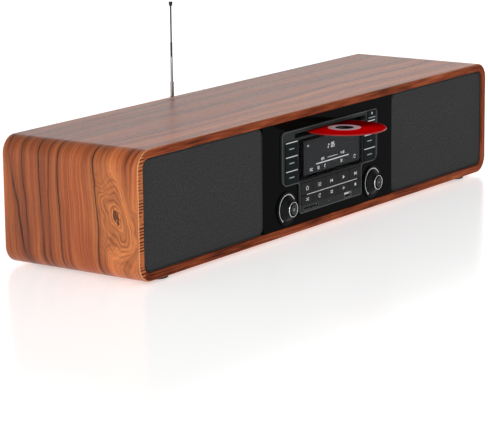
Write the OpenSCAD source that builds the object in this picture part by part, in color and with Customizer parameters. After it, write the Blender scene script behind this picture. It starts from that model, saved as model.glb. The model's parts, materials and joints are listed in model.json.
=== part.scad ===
// Mini hifi system: one long wooden cabinet with two speakers, a slot-loading
// disc player, a radio with a telescopic antenna, and a control panel.
// Millimetres. X runs along the cabinet, -Y is the front, +Z is up.
// The origin is the centre of the cabinet's footprint, on the plane it stands on.

/* [Cabinet] */
// Length of the cabinet
body_w = 600; // [560:5:700]
// Depth of the cabinet, front edge to back edge
body_d = 150; // [148:1:190]
// Height of the wooden body, without feet
body_h = 115; // [115:1:130]
// Outer radius of the four long corners
corner_r = 16; // [12:1:24]
// Thickness of the wooden wall
wall_t = 7.5; // [6:0.5:9]
// Height of the rubber feet
foot_h = 3; // [2:0.5:8]
// How far the front parts sit behind the front edge of the wood
recess = 1.5; // [1:0.5:3]

/* [Control panel] */
// Width of the gloss panel between the two grilles
fascia_w = 224; // [216:1:240]
// How far a key travels when it is pressed
key_travel = 0.5; // [0.3:0.1:0.6]
// Distance of each knob's axis from the middle
knob_x = 74.6; // [74:0.2:78]
// How far the knobs stand out of the panel
knob_out = 8.5; // [7:0.5:11]

/* [Disc] */
// Diameter of the disc in the slot, a small one or a standard one
disc_d = 80; // [80, 120]
// How far the disc's centre stands in front of the cabinet when ejected
disc_out = 15; // [10:1:20]

/* [Loudspeakers] */
// Distance of each driver's axis from the middle
driver_x = 202; // [190:1:212]
// Radius of a driver's flange
driver_r = 45; // [43:1:46]

/* [Antenna] */
// Distance of the antenna from the middle, to the left seen from the front
antenna_x = 38; // [25:1:50]
// How much of the second, third and fourth tube shows at rest
tube_out = [24.9, 13.7, 35.4];

/* [Hidden] */
$fn = 64;

// Planes of the cabinet
front_y = -body_d / 2;
back_y = body_d / 2;
wood_z = foot_h;
mid_z = wood_z + body_h / 2;
inner_w = body_w - 2 * wall_t;
inner_h = body_h - 2 * wall_t;
inner_r = corner_r - wall_t;
fit = 0.15; // gap round a part that is pushed into place
cut = 1; // how far a cutting shape runs past the face that it cuts
foot_x = body_w / 2 - 42;
foot_y = body_d / 2 - 15;
foot_r = 11.5;
foot_taper = 0.6;

// Planes of the front, from the outside in
skin_y = front_y + recess; // face of the cloth and of the gloss panel
cloth_t = 1;
frame_t = 2;
gloss_t = 4.5;
baffle_y = skin_y + 4.5;
baffle_t = 9;
middle_w = 196; // clear width between the bulkheads
bezel_y = front_y; // face of the control bezel
bezel_back = bezel_y + 6;
floor_y = bezel_y + 4.2; // bottom of the key pockets
board_y = bezel_y + 12;
board_t = 1.6;
board_w = 176;

// Grilles
grille_w = (inner_w - fascia_w) / 2 - fit;
grille_x = fascia_w / 2 + grille_w / 2 + fit / 2;
grille_h = inner_h - 0.3;
bay_w = 49; // openings of the grille frame beside the driver
bay_x = 56.6;
driver_bay_w = 56;
bay_r = 5;

// Control bezel, heights above the bottom of the wood
wide_w = 166;
wide_top = wood_z + 98;
wide_bottom = wood_z + 46.4;
block_w = 109;
block_bottom = wood_z + 16.5;
head_r = 5; // corner radii of the bezel: top, lower head, notch and foot of the block
cheek_r = 8;
notch_r = 4;
base_r = 3;
window_w = 112;
window_h = 40;
window_z = wood_z + 67.5;
view_w = 102; // lit area, a little right of the middle of the lens
view_h = 34;
view_x = 3.5;
module_w = 104;
slot_z = wood_z + 91.8;
slot_w = 124; // a standard disc is 120
slot_h = 4.4;

// Keys
side_key = [20.4, 13];
side_x = 68;
side_pitch = 13.45;
side_z = wood_z + 54.6;
eject_size = [14.4, 7.6];
eject_pos = [72.4, wood_z + 93.1];
low_w = 20.6;
low_pitch = 21;
row_w = 4 * low_pitch + low_w + 0.8;
upper_h = 11.2;
upper_z = wood_z + 39.8;
lower_h = 7.9;
lower_z = wood_z + 29;
key_gap = 0.4;
post_x = 60.5;
key_proud = 0.6;
stem = [5, 4];
stem_end = board_y - 4.8;
switch_h = 4;

// Sockets and the lamp in the bottom strip
lamp_pos = [-3.3, wood_z + 20.6];
lamp_r = 1;
usb_pos = [29.6, wood_z + 21];
usb_size = [13.2, 5.8];
usb_mouth = [12, 4.5];
card_pos = [-35, wood_z + 20.4];
card_size = [26.4, 4.2];
card_mouth = [24.4, 2.6];

// Knobs
knob_z = wood_z + 25.7;
knob_r = 12.2;
knob_nose_r = 7.2;
ring_r = 16;
ring_t = 1.4;
cap_r = 5.2;
knob_base_y = skin_y - ring_t - 0.3;
knob_face_y = skin_y - knob_out;
shaft_r = 3;
pin_r = 1.4;

// Disc and drive
disc_t = 1.2;
disc_y = front_y - disc_out;
load_y = -4;
under_z = slot_z - disc_t / 2;
deck_lift = 2.5;
deck_z = 80.5;
chassis_w = 140;
chassis_front = -58;
chassis_back = 62;
chassis_d = chassis_back - chassis_front;
chassis_z = 76;
sheet_t = 1.5;
wall_top = slot_z + 14;
inner_top = wood_z + body_h - wall_t;
hang_x = chassis_w / 2 + 4.4;
hang_y = [-46, 50];
roller_r = 4;
roller_y = -51;
roller_z = under_z - 0.3 - roller_r;
axle_r = 1.5;
spindle_r = 1.25;
tab_x = [-32, 52]; // tabs that the deck rests on
tab_y = 38;
rod_ends = [15.8, 66];
rod_y = 17;
rod_r = 1.2;
deck_low = [-38, load_y - 32]; // lowest corner and size of the deck plate
deck_size = [105, 64];
arm_r = 12; // clamp arm's round end over the spindle
arm_pivot = [56.5, slot_z + 8.5];

// Drivers
cone_r = 37.8;
cone_gap = 0.5;
magnet_r = 30;
magnet_t = 15;
flange_t = 2.9;
rim_t = 6.6; // depth of the straight rim round the cone's edge
basket_t = 28.8;
gap_r = 9.4; // outer and inner radius of the magnet's air gap
pole_r = 7.4;
screw_ring = driver_r - 3.4;

// Amplifier board on the floor of the middle bay
amp_size = [176, 92];
amp_y = -36;
amp_z = wood_z + wall_t + 6;
amp_top = amp_z + board_t;
sink_pos = [12, -14];
sink_size = [52, 36];
fin_pitch = 6.2;

// Rear
rear_t = 4;
rear_y = back_y - 2 - rear_t; // inner face of the rear panel
rear_out = rear_y + rear_t;
port_x = 258;
port_r = 14;
aux_x = 34;
dc_x = 62;
switch_x = 88;
service_z = wood_z + 32;
aux_bore_r = 1.8;
rocker = [19, 12];
rocker_tilt = 6; // lean of the rocker to either side
rear_screw_x = [40, 160, 282];
rear_screw_z = 44;
vent_pitch = 9;
vent_size = [3, 22];
vent_z = wood_z + 78;
switch_hole = 1.2; // rim of the switch's housing all round the rocker
screw_r = 1.45;

// Antenna
hinge_y = rear_out + 11;
hinge_z = wood_z + 78;
knuckle_top = wood_z + 113;
tube_outer = [1.95, 1.35, 1.05, 0.8];
tube_inner = [1.43, 1.13, 0.86];
tube_len = [13.7, 43, 42, 41];
tube_1_top = knuckle_top + tube_len[0];
ear_r = 4; // rounded ends of the swivel's two ears
ear_w = 2.4;
ear_x = 3.4;
elbow_r = 1.2;

function arc(cx, cy, r, a0, a1, n = 8) =
    [for (i = [0:n]) let (a = a0 + (a1 - a0) * i / n) [cx + r * cos(a), cy + r * sin(a)]];
function round_rect(w, h, r, n = 6) = concat(
    arc(w / 2 - r, h / 2 - r, r, 0, 90, n), arc(-w / 2 + r, h / 2 - r, r, 90, 180, n),
    arc(-w / 2 + r, -h / 2 + r, r, 180, 270, n), arc(w / 2 - r, -h / 2 + r, r, 270, 360, n));

// Extrudes a shape drawn in the X-Z plane, from plane y0 to plane y1
module slab(y0, y1) translate([0, y1, 0]) rotate([90, 0, 0])
    linear_extrude(height = y1 - y0) children();
// A rounded plate at [x, z], from plane y0 to plane y1
module plate(x, z, w, h, r, y0, y1, n = 6) translate([x, 0, z])
    slab(y0, y1) polygon(round_rect(w, h, r, n));
// A plain block at [x, z], from plane y0 to plane y1
module block(x, z, w, h, y0, y1)
    translate([x - w / 2, y0, z - h / 2]) cube([w, y1 - y0, h]);
// A round bar along Y at [x, z]
module bar(x, z, r, y0, y1, r2 = -1) translate([x, y0, z]) rotate([-90, 0, 0])
    cylinder(h = y1 - y0, r1 = r, r2 = r2 < 0 ? r : r2);
// A round bar along X
module cross_bar(x0, x1, y, z, r)
    translate([x0, y, z]) rotate([0, 90, 0]) cylinder(h = x1 - x0, r = r);

// ---- Cabinet ----

module cabinet_shell() color("sienna") difference() {
    plate(0, mid_z, body_w, body_h, corner_r, front_y, back_y, 14);
    plate(0, mid_z, inner_w, inner_h, inner_r, front_y - cut, back_y + cut, 14);
}

// Baffle board, with the two bulkheads glued to its back that close the speaker chambers
module front_baffle() color("burlywood") {
    difference() {
        plate(0, mid_z, inner_w - 0.2, inner_h - 0.2, inner_r, baffle_y, baffle_y + baffle_t);
        block(0, mid_z, middle_w, inner_h - 8, baffle_y - cut, baffle_y + baffle_t + cut);
        for (s = [-1, 1]) {
            bar(s * driver_x, mid_z, cone_r + 2.2, baffle_y - cut, baffle_y + baffle_t + cut);
            bar(s * driver_x, mid_z, driver_r + 0.3, baffle_y - cut, baffle_y + 3);
            for (a = [45:90:315]) translate([s * driver_x, baffle_y, mid_z]) rotate([-90, a, 0])
                translate([screw_ring, 0, -cut]) cylinder(h = baffle_t + 2 * cut, r = screw_r);
        }
    }
    for (s = [-1, 1]) block(s * (middle_w / 2 + 8), mid_z, 8, inner_h - 0.2,
        baffle_y + baffle_t - 0.1, rear_y);
}

module rear_panel() color("dimgray") difference() {
    plate(0, mid_z, inner_w - 0.4, inner_h - 0.4, inner_r, rear_y, rear_out);
    for (s = [-1, 1]) bar(s * port_x, mid_z, port_r + 2.1, rear_y - cut, rear_out + cut);
    bar(aux_x, service_z, 4.1, rear_y - cut, rear_out + cut);
    bar(dc_x, service_z, 5.1, rear_y - cut, rear_out + cut);
    block(switch_x, service_z, rocker[0] + 2 * switch_hole, rocker[1] + 2 * switch_hole,
        rear_y - cut, rear_out + cut);
    bar(-antenna_x, hinge_z, 3.06, rear_y - cut, rear_out + cut);
    for (s = [-1, 1], x = rear_screw_x, z = [-1, 1])
        bar(s * x, mid_z + z * rear_screw_z, 1.6, rear_y - cut, rear_out + cut);
    // ventilation slots over the amplifier
    for (i = [-4:4])
        block(i * vent_pitch + dc_x, vent_z, vent_size[0], vent_size[1], rear_y - cut, rear_out + cut);
}

// ---- Grilles ----

module grille_frames() color("black") for (s = [-1, 1]) difference() {
    plate(s * grille_x, mid_z, grille_w - 2 * cloth_t - 0.2, grille_h - 2 * cloth_t - 0.2,
        inner_r - cloth_t, skin_y + cloth_t, skin_y + cloth_t + frame_t);
    for (i = [-1, 1])
        plate(s * grille_x + i * bay_x, mid_z, bay_w, inner_h - 18, bay_r, skin_y, baffle_y);
    plate(s * driver_x, mid_z, driver_bay_w, inner_h - 12, bay_r, skin_y, baffle_y);
}

module grille_cloth(s) color("#2c2c2e") difference() {
    plate(s * grille_x, mid_z, grille_w, grille_h, inner_r, skin_y, baffle_y - 0.3);
    plate(s * grille_x, mid_z, grille_w - 2 * cloth_t, grille_h - 2 * cloth_t,
        inner_r - cloth_t, skin_y + cloth_t, baffle_y);
}

// ---- Control panel ----

// Outline of the bezel: a wide head with keys at both sides, and a narrower block below.
// grow moves the outline out.
module bezel_outline(grow = 0) {
    hw = wide_w / 2 + grow;
    bw = block_w / 2 + grow;
    top = wide_top + grow;
    low = wide_bottom - grow;
    base = block_bottom - grow;
    polygon(concat(
        arc(hw - head_r, top - head_r, head_r, 0, 90),
        arc(-hw + head_r, top - head_r, head_r, 90, 180),
        arc(-hw + cheek_r, low + cheek_r, cheek_r, 180, 270),
        arc(-bw - notch_r, low - notch_r, notch_r, 90, 0),
        arc(-bw + base_r, base + base_r, base_r, 180, 270),
        arc(bw - base_r, base + base_r, base_r, 270, 360),
        arc(bw + notch_r, low - notch_r, notch_r, 180, 90),
        arc(hw - cheek_r, low + cheek_r, cheek_r, 270, 360)));
}

module gloss_panel() color("#08090a") difference() {
    block(0, mid_z, fascia_w, inner_h - 0.3, skin_y, skin_y + gloss_t);
    slab(skin_y - cut, skin_y + gloss_t + cut) bezel_outline(fit);
    for (s = [-1, 1]) bar(s * knob_x, knob_z, shaft_r + 1.2, skin_y - cut, skin_y + gloss_t + cut);
}

module control_bezel() color("#141618") difference() {
    union() {
        slab(bezel_y, bezel_back) bezel_outline();
        // posts that hold the key board
        for (s = [-1, 1], i = [0.5, 1.5])
            bar(s * post_x, side_z + i * side_pitch, 2.2, bezel_back - 0.1, board_y);
    }
    // display window, its ledge and the pocket for the module behind
    plate(0, window_z, window_w, window_h, 2, bezel_y - cut, bezel_y + 2.1);
    block(view_x, window_z, view_w + 1, view_h + 1, bezel_y - cut, bezel_y + 4);
    block(view_x, window_z, module_w + 1, window_h - 1.6, bezel_y + 3.5, bezel_back + cut);
    // disc slot
    plate(0, slot_z, slot_w, slot_h, 1.2, bezel_y - cut, bezel_back + cut);
    // key pockets and the holes for the key stems
    for (s = [-1, 1]) {
        block(s * side_x, side_z + side_pitch, side_key[0] + 2 * key_gap,
            2 * side_pitch + side_key[1] + 2 * key_gap, bezel_y - cut, floor_y);
        for (i = [0:2]) stem_hole(s * side_x, side_z + i * side_pitch);
    }
    block(eject_pos[0], eject_pos[1], eject_size[0] + 2 * key_gap,
        eject_size[1] + 2 * key_gap, bezel_y - cut, floor_y);
    stem_hole(eject_pos[0], eject_pos[1]);
    block(0, upper_z, row_w, upper_h + 2 * key_gap, bezel_y - cut, floor_y);
    block(0, lower_z, row_w, lower_h + 2 * key_gap, bezel_y - cut, floor_y);
    for (i = [-2:2]) {
        stem_hole(i * low_pitch, upper_z);
        stem_hole(i * low_pitch, lower_z);
    }
    // sockets, and the lamp between them
    block(usb_pos[0], usb_pos[1], usb_size[0] + 0.3, usb_size[1] + 0.3, bezel_y - cut, bezel_back + cut);
    block(card_pos[0], card_pos[1], card_size[0] + 0.3, card_size[1] + 0.3,
        bezel_y + 1, bezel_back + cut);
    block(card_pos[0], card_pos[1], card_mouth[0], card_mouth[1], bezel_y - cut, bezel_y + 2);
    bar(lamp_pos[0], lamp_pos[1], lamp_r, bezel_y - cut, bezel_back + cut);
}

module stem_hole(x, z)
    block(x, z, stem[0] + 0.4, stem[1] + 0.4, floor_y - 1, bezel_back + cut);

module display_lens() color([0.1, 0.11, 0.12, 0.6])
    plate(0, window_z, window_w - 0.4, window_h - 0.4, 1.8, bezel_y + 0.5, bezel_y + 2.1);

// The display's glass stands in the bezel's opening, close behind the lens
module display_module() color("#3b3d40") {
    block(view_x, window_z, module_w, window_h - 2.2, bezel_y + 4, board_y - 2);
    block(view_x, window_z, view_w, view_h, bezel_y + 2.3, bezel_y + 4.5);
}

// A key: a cap in its pocket, and a stem that runs back to its switch
module key(x, z, w, h) color("#1b1d20") {
    plate(x, z, w, h, 0.6, bezel_y - key_proud, floor_y - key_travel - 0.2, 3);
    block(x, z, stem[0], stem[1], floor_y - key_travel - 0.2, stem_end);
}

module side_key(s, i) key(s * side_x, side_z + i * side_pitch, side_key[0], side_key[1]);
module eject_key() key(eject_pos[0], eject_pos[1], eject_size[0], eject_size[1]);
module upper_key(i) key((i - 3) * low_pitch, upper_z, low_w, upper_h);
module lower_key(i) key((i - 3) * low_pitch, lower_z, low_w, lower_h);

// Circuit board behind the keys, with a switch under each of them
module key_board() color("darkgreen") {
    difference() {
        union() {
            block(0, wood_z + 52, board_w, 74, board_y, board_y + board_t);
            for (s = [-1, 1])
                block(s * (board_w / 2 - 11), wood_z + 93, 22, 12, board_y, board_y + board_t);
        }
        block(usb_pos[0], usb_pos[1], usb_size[0] + 1, usb_size[1] + 1, board_y - 1, board_y + 3);
        block(card_pos[0], card_pos[1], card_size[0] + 1, card_size[1] + 1,
            board_y - 1, board_y + 3);
        for (s = [-1, 1]) bar(s * knob_x, knob_z, 5, board_y - 1, board_y + 3);
    }
    switch(eject_pos[0], eject_pos[1]);
    for (s = [-1, 1], i = [0:2]) switch(s * side_x, side_z + i * side_pitch);
    for (i = [-2:2]) {
        switch(i * low_pitch, upper_z);
        switch(i * low_pitch, lower_z);
    }
}

module switch(x, z) {
    block(x, z, 6, 6, board_y - switch_h + 0.6, board_y);
    bar(x, z, 1.7, board_y - switch_h, board_y - 1);
}

// Knob turned from one profile: a cone with a chrome nose and a bore for its cap
module knob(s) color("#101113") difference() {
    union() {
        bar(s * knob_x, knob_z, knob_nose_r, knob_face_y + 1.2, knob_base_y, knob_r);
        bar(s * knob_x, knob_z, knob_nose_r - 0.3, knob_face_y, knob_face_y + 1.3);
    }
    bar(s * knob_x, knob_z, cap_r + 0.2, knob_face_y - 1, knob_face_y + 4);
    bar(s * knob_x, knob_z, shaft_r + 0.05, knob_face_y - 1, knob_base_y + 1);
}

// Push cap in the middle of a knob, on a pin that runs through the hollow shaft
module knob_cap(s) color("silver") {
    bar(s * knob_x, knob_z, cap_r, knob_face_y - 0.4, knob_face_y + 2.2);
    bar(s * knob_x, knob_z, pin_r, knob_face_y + 2, board_y - 0.5);
}

module knob_scale_rings() color("gray") for (s = [-1, 1]) difference() {
    bar(s * knob_x, knob_z, ring_r, skin_y - ring_t, skin_y);
    bar(s * knob_x, knob_z, shaft_r + 1.2, skin_y - 3, skin_y + 1);
}

module rotary_encoders() color("silver") for (s = [-1, 1]) difference() {
    union() {
        block(s * knob_x, knob_z, 13, 13, board_y - 5, board_y);
        bar(s * knob_x, knob_z, shaft_r, knob_face_y + 4.4, board_y - 4.9);
        bar(s * knob_x, knob_z, 4.9, board_y - 0.1, board_y + 8);
    }
    bar(s * knob_x, knob_z, pin_r + 0.2, knob_face_y, board_y + 1);
}

module usb_socket() color("silver") {
    difference() {
        block(usb_pos[0], usb_pos[1], usb_size[0], usb_size[1], bezel_y + 0.3, board_y + 3);
        block(usb_pos[0], usb_pos[1], usb_mouth[0], usb_mouth[1], bezel_y - cut, board_y + 1.6);
    }
    block(usb_pos[0], usb_pos[1] + 0.9, 10.8, 1.8, bezel_y + 1.5, board_y + 1.8);
}

module card_socket() color("silver") difference() {
    block(card_pos[0], card_pos[1], card_size[0], card_size[1], bezel_y + 2.2, board_y + 12);
    block(card_pos[0], card_pos[1], card_mouth[0], card_mouth[1], bezel_y, board_y + 10);
}

// ---- Disc drive ----

module compact_disc() color("red") translate([0, disc_y, under_z]) difference() {
    cylinder(h = disc_t, r = disc_d / 2, $fn = 128);
    translate([0, 0, -1]) cylinder(h = disc_t + 2, r = 7.5);
}

// Open tray of folded sheet: a floor with a window for the deck, side walls that carry the
// feed roller, a rear wall with the clamp arm's ears, and four posts to the cabinet's top
module disc_chassis() color("lightgray") difference() {
    union() {
        translate([-chassis_w / 2, chassis_front, chassis_z]) cube([chassis_w, chassis_d, sheet_t]);
        for (s = [-1, 1]) translate([s * (chassis_w - sheet_t) / 2 - sheet_t / 2, chassis_front, chassis_z])
            cube([sheet_t, chassis_d, wall_top - chassis_z]);
        translate([-chassis_w / 2, chassis_back - sheet_t, chassis_z])
            cube([chassis_w, sheet_t, wall_top - chassis_z]);
        for (s = [-1, 1], y = hang_y) {
            translate([s * (chassis_w / 2 + 3.9) - 4, y - 4, wall_top - sheet_t]) cube([8, 8, sheet_t]);
            translate([s * hang_x, y, wall_top - 0.1]) cylinder(h = inner_top - wall_top + 0.1, r = 3);
        }
        for (s = [-1, 1]) translate([s * 11 - 1.5, arm_pivot[0] - 3.5, arm_pivot[1] - 3.5])
            cube([3, chassis_back - arm_pivot[0] + 3, 7]);
        for (x = tab_x, y = [-1, 1]) translate([x + 4, load_y + y * tab_y, chassis_z + sheet_t - 0.1])
            cylinder(h = deck_z - chassis_z - sheet_t, r = 2.6);
    }
    cross_bar(-chassis_w, chassis_w, roller_y, roller_z, axle_r + 0.06);
    cross_bar(-20, 20, arm_pivot[0], arm_pivot[1], 1.06);
    translate([deck_low[0] - 2, deck_low[1] - 2, chassis_z - cut])
        cube([deck_size[0] + 3, deck_size[1] + 4, sheet_t + 2 * cut]);
    for (s = [-1, 1], y = hang_y)
        translate([s * hang_x, y, slot_z]) cylinder(h = 20, r = 1.3);
}

// Rubber roller that draws the disc in, on a steel axle with its drive gear
module feed_roller() color("#222222") {
    cross_bar(-58, 58, roller_y, roller_z, roller_r);
    cross_bar(-chassis_w / 2 - 5, chassis_w / 2 + 2, roller_y, roller_z, axle_r);
    translate([-chassis_w / 2 - 5, roller_y, roller_z]) rotate([0, 90, 0])
        linear_extrude(height = 3) gear_outline(18, 5.4, 4.4);
}

// Outline of a spur gear with n teeth between radii top and root
module gear_outline(n, top, root)
    polygon([for (i = [0:n - 1], k = [0:3]) let (a = 360 / n * (i + [0, 0.2, 0.5, 0.7][k]),
        r = [root, top, top, root][k]) [r * cos(a), r * sin(a)]]);

// Deck that rises under a loaded disc. It carries the spindle motor and the sled's rods.
module traverse_deck() color("gray") {
    difference() {
        union() {
            translate([deck_low[0], deck_low[1], deck_z]) cube([deck_size[0], deck_size[1], sheet_t]);
            for (x = tab_x) translate([x, load_y - tab_y - 4, deck_z]) cube([8, 2 * tab_y + 8, sheet_t]);
            translate([0, load_y, deck_z - 7]) cylinder(h = 7.1, r = 12);
        }
        translate([20, load_y - 10, deck_z - 1]) cube([42, 20, 4]);
        translate([0, load_y, deck_z - 8]) cylinder(h = 20, r = spindle_r + 0.05);
    }
    for (y = [-1, 1]) {
        for (x = rod_ends) translate([x - 1.5, load_y + y * rod_y - 2.5, deck_z + 1.4])
            cube([3, 5, 5.2]);
        cross_bar(rod_ends[0], rod_ends[1], load_y + y * rod_y, deck_z + 4, rod_r);
    }
}

module turntable() color("silver") translate([0, load_y, 0]) {
    translate([0, 0, under_z - deck_lift - 2.1]) cylinder(h = 2, r = 13);
    translate([0, 0, under_z - deck_lift - 0.2]) cylinder(h = 1.7, r = 7.3);
    translate([0, 0, deck_z - 6]) cylinder(h = under_z - deck_lift - deck_z + 5, r = spindle_r);
}

module laser_sled() color("#333333") difference() {
    union() {
        translate([18.5, load_y - 20, deck_z + 2]) cube([12, 40, 4.6]);
        translate([24.5, load_y, deck_z + 6]) cylinder(h = 4, r = 3.2);
    }
    for (y = [-1, 1]) cross_bar(10, 70, load_y + y * rod_y, deck_z + 4, rod_r + 0.06);
}

// Arm over the disc on its hinge pin, with the puck that presses the disc on the turntable
module clamp_arm() color("lightgray") {
    translate([-9, load_y, arm_pivot[1] - 1]) cube([18, arm_pivot[0] - load_y, 2]);
    cross_bar(-9, 9, arm_pivot[0], arm_pivot[1], 3);
    cross_bar(-13, 13, arm_pivot[0], arm_pivot[1], 1);
    translate([0, load_y, arm_pivot[1] - 1]) cylinder(h = 2, r = arm_r);
    translate([0, load_y, arm_pivot[1] - 5]) difference() {
        cylinder(h = 4.1, r = arm_r + 0.5);
        translate([0, 0, -1]) cylinder(h = 2.6, r = 7.6);
    }
}

// ---- Loudspeakers ----

module driver_frame(s) color("#2a2a2a") translate([s * driver_x, baffle_y, mid_z])
    rotate([-90, 0, 0]) {
        difference() {
            union() {
                cylinder(h = flange_t, r = driver_r);
                translate([0, 0, 1]) cylinder(h = rim_t - 1, r = cone_r + 1.8);
                translate([0, 0, rim_t - 0.1])
                    cylinder(h = basket_t - rim_t + 0.1, r1 = cone_r + 1.8, r2 = magnet_r - 2);
            }
            translate([0, 0, -1]) cylinder(h = rim_t + 1.1, r = cone_r + cone_gap);
            translate([0, 0, rim_t])
                cylinder(h = basket_t - rim_t - 2, r1 = cone_r + cone_gap, r2 = magnet_r - 4.4);
            for (a = [0:90:270]) rotate([0, 0, a + 45])
                translate([screw_ring, 0, -1]) cylinder(h = 6, r = 1.7);
            for (a = [0:60:300]) rotate([0, 0, a]) translate([24, -5, 8]) cube([30, 10, 14]);
            translate([0, 0, 10]) cylinder(h = basket_t, r = gap_r);
        }
        difference() {
            translate([0, 0, basket_t - 0.1]) cylinder(h = magnet_t, r = magnet_r);
            translate([0, 0, basket_t - 1]) cylinder(h = magnet_t - 1.3, r = gap_r);
        }
        translate([0, 0, basket_t]) cylinder(h = magnet_t - 1, r = pole_r);
    }

// Cone, its rolled surround, dust cap and voice coil, which move as one
module cone(s) color("#1c1c1c") translate([s * driver_x, baffle_y + 3, mid_z]) rotate([-90, 0, 0])
    rotate_extrude($fn = 96) polygon(concat(
        [[8.6, 34], [8.6, 17], [32, 0.4]],
        arc(35, 0.4, 2.8, 180, 360, 8), [[37.8, 1], [37, 1]],
        arc(35, 1, 1.9, 360, 180, 8), [[31.4, 2.6], [12, 17], [9.1, 18.6], [9.1, 34]]));

module dust_cap(s) color("#222222") translate([s * driver_x, baffle_y + 3, mid_z])
    rotate([-90, 0, 0]) rotate_extrude($fn = 64)
        polygon(concat([for (i = [0:6]) [2.2 * i, 10.4 + 0.09 * i * i]],
            [for (i = [6:-1:0]) [2.2 * i, 11.2 + 0.09 * i * i]]));

module speaker_cone(s) {
    cone(s);
    dust_cap(s);
}

module port_tubes() color("#1a1a1a") for (s = [-1, 1]) difference() {
    union() {
        bar(s * port_x, mid_z, port_r + 2, rear_y - 46, rear_out + 0.1);
        bar(s * port_x, mid_z, port_r + 7, rear_out, rear_out + 1.4);
    }
    bar(s * port_x, mid_z, port_r, rear_y - 50, rear_out + 3);
}

// ---- Electronics and rear ----

module main_board() color("darkgreen") {
    translate([-amp_size[0] / 2, amp_y, amp_z]) cube([amp_size[0], amp_size[1], board_t]);
    for (s = [-1, 1], y = [8, amp_size[1] - 8])
        translate([s * (amp_size[0] / 2 - 8), amp_y + y, wood_z + wall_t])
            cylinder(h = amp_z - wood_z - wall_t + 0.1, r = 3);
    // reservoir capacitors, processor, tuner can and connectors
    for (i = [0:3]) translate([-78 + i * 14, 40, amp_top - 0.1]) cylinder(h = 16, r = 5);
    translate([-60, -20, amp_top - 0.1]) cube([22, 22, 2]);
    translate([-28, 22, amp_top - 0.1]) cube([26, 20, 8]);
    for (i = [0:2]) translate([-20 + i * 18, -32, amp_top - 0.1]) cube([12, 6, 7]);
    translate([70, -10, amp_top - 0.1]) cube([12, 12, 9]);
}

module heat_sink() color("silver") {
    translate([sink_pos[0], sink_pos[1], amp_top]) cube([sink_size[0], sink_size[1], 4]);
    for (i = [0:8]) translate([sink_pos[0] + i * fin_pitch, sink_pos[1], amp_top + 3.9])
        cube([2, sink_size[1], 20]);
}

module rear_sockets() color("#202020") {
    // 3.5 mm line input
    difference() {
        union() {
            bar(aux_x, service_z, 4, rear_y - 0.1, rear_out + 1.5);
            block(aux_x, service_z, 11, 11, rear_y - 12, rear_y);
        }
        bar(aux_x, service_z, aux_bore_r, rear_y - 10, rear_out + 2);
    }
    // low-voltage supply inlet
    difference() {
        union() {
            bar(dc_x, service_z, 5, rear_y - 0.1, rear_out + 0.8);
            block(dc_x, service_z, 12, 11, rear_y - 11, rear_y);
        }
        bar(dc_x, service_z, 3.3, rear_y - 6, rear_out + 2);
    }
    bar(dc_x, service_z, 1, rear_y - 6.5, rear_out - 1);
    // housing of the power rocker
    difference() {
        block(switch_x, service_z, rocker[0] + 2 * switch_hole - 0.2,
            rocker[1] + 2 * switch_hole - 0.2, rear_y - 12, rear_out + 1.2);
        block(switch_x, service_z, rocker[0], rocker[1], rear_y - 8, rear_out + 2);
        cross_bar(switch_x - rocker[0] / 2 - 0.8, switch_x + rocker[0] / 2 + 0.8,
            rear_out - 2, service_z, 1.06);
    }
}

// Rocker on its pin: a shallow V, leaning to one side
module power_switch() color("black") {
    translate([switch_x - rocker[0] / 2 + 0.6, rear_out - 2, service_z])
        rotate([-rocker_tilt, 0, 0]) rotate([90, 0, 90]) linear_extrude(height = rocker[0] - 1.2)
            polygon([[-1.6, -2], [0, -5.2], [4.2, -5.2], [2.6, 0], [4.2, 5.2], [0, 5.2], [-1.6, 2]]);
    cross_bar(switch_x - rocker[0] / 2 - 0.6, switch_x + rocker[0] / 2 + 0.6,
        rear_out - 2, service_z, 1);
}

// ---- Antenna ----

module antenna_swivel() color("#111111") {
    bar(-antenna_x, hinge_z, 3, rear_y - 5, rear_out + 0.3);
    bar(-antenna_x, hinge_z, 5.5, rear_y - 5.2, rear_y - 0.2);
    bar(-antenna_x, hinge_z, 8, rear_out + 0.2, rear_out + 6);
    for (s = [-1, 1]) {
        translate([-antenna_x + s * ear_x - ear_w / 2, rear_out + 5.8, hinge_z - ear_r])
            cube([ear_w, hinge_y - rear_out - 5.8, 2 * ear_r]);
        cross_bar(-antenna_x + s * ear_x - ear_w / 2, -antenna_x + s * ear_x + ear_w / 2,
            hinge_y, hinge_z, ear_r);
    }
    cross_bar(-antenna_x - 3, -antenna_x + 3, hinge_y, hinge_z, elbow_r);
}

// Eye on the elbow's pin, and the tapered black neck that carries the first tube
module antenna_knuckle() color("#111111") difference() {
    union() {
        cross_bar(-antenna_x - 1.9, -antenna_x + 1.9, hinge_y, hinge_z, 3);
        translate([-antenna_x, hinge_y, hinge_z]) cylinder(h = 8, r = 1.7);
        translate([-antenna_x, hinge_y, hinge_z + 4.4])
            cylinder(h = knuckle_top - hinge_z - 4.4, r1 = 3, r2 = 1.8);
    }
    translate([-antenna_x, hinge_y, hinge_z + 5]) cylinder(h = 100, r = tube_inner[0]);
    cross_bar(-antenna_x - 3, -antenna_x + 3, hinge_y, hinge_z, elbow_r + 0.05);
}

module tube_1() color("silver") translate([-antenna_x, hinge_y, knuckle_top]) difference() {
    cylinder(h = tube_len[0], r = tube_outer[0]);
    translate([0, 0, -1]) cylinder(h = 100, r = tube_inner[0]);
}

// One inner tube: i is 1, 2 or 3, and its top stands at height z
module inner_tube(i, z) color("silver") translate([-antenna_x, hinge_y, z - tube_len[i]])
    difference() {
        cylinder(h = tube_len[i], r = tube_outer[i]);
        if (i < 3) translate([0, 0, 1]) cylinder(h = 100, r = tube_inner[i]);
    }

module tube_tip(z) color("silver") translate([-antenna_x, hinge_y, z]) {
    translate([0, 0, -0.1]) cylinder(h = 1.4, r1 = 1, r2 = 1.8);
    translate([0, 0, 1.2]) cylinder(h = 3, r = 1.8);
}

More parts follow.
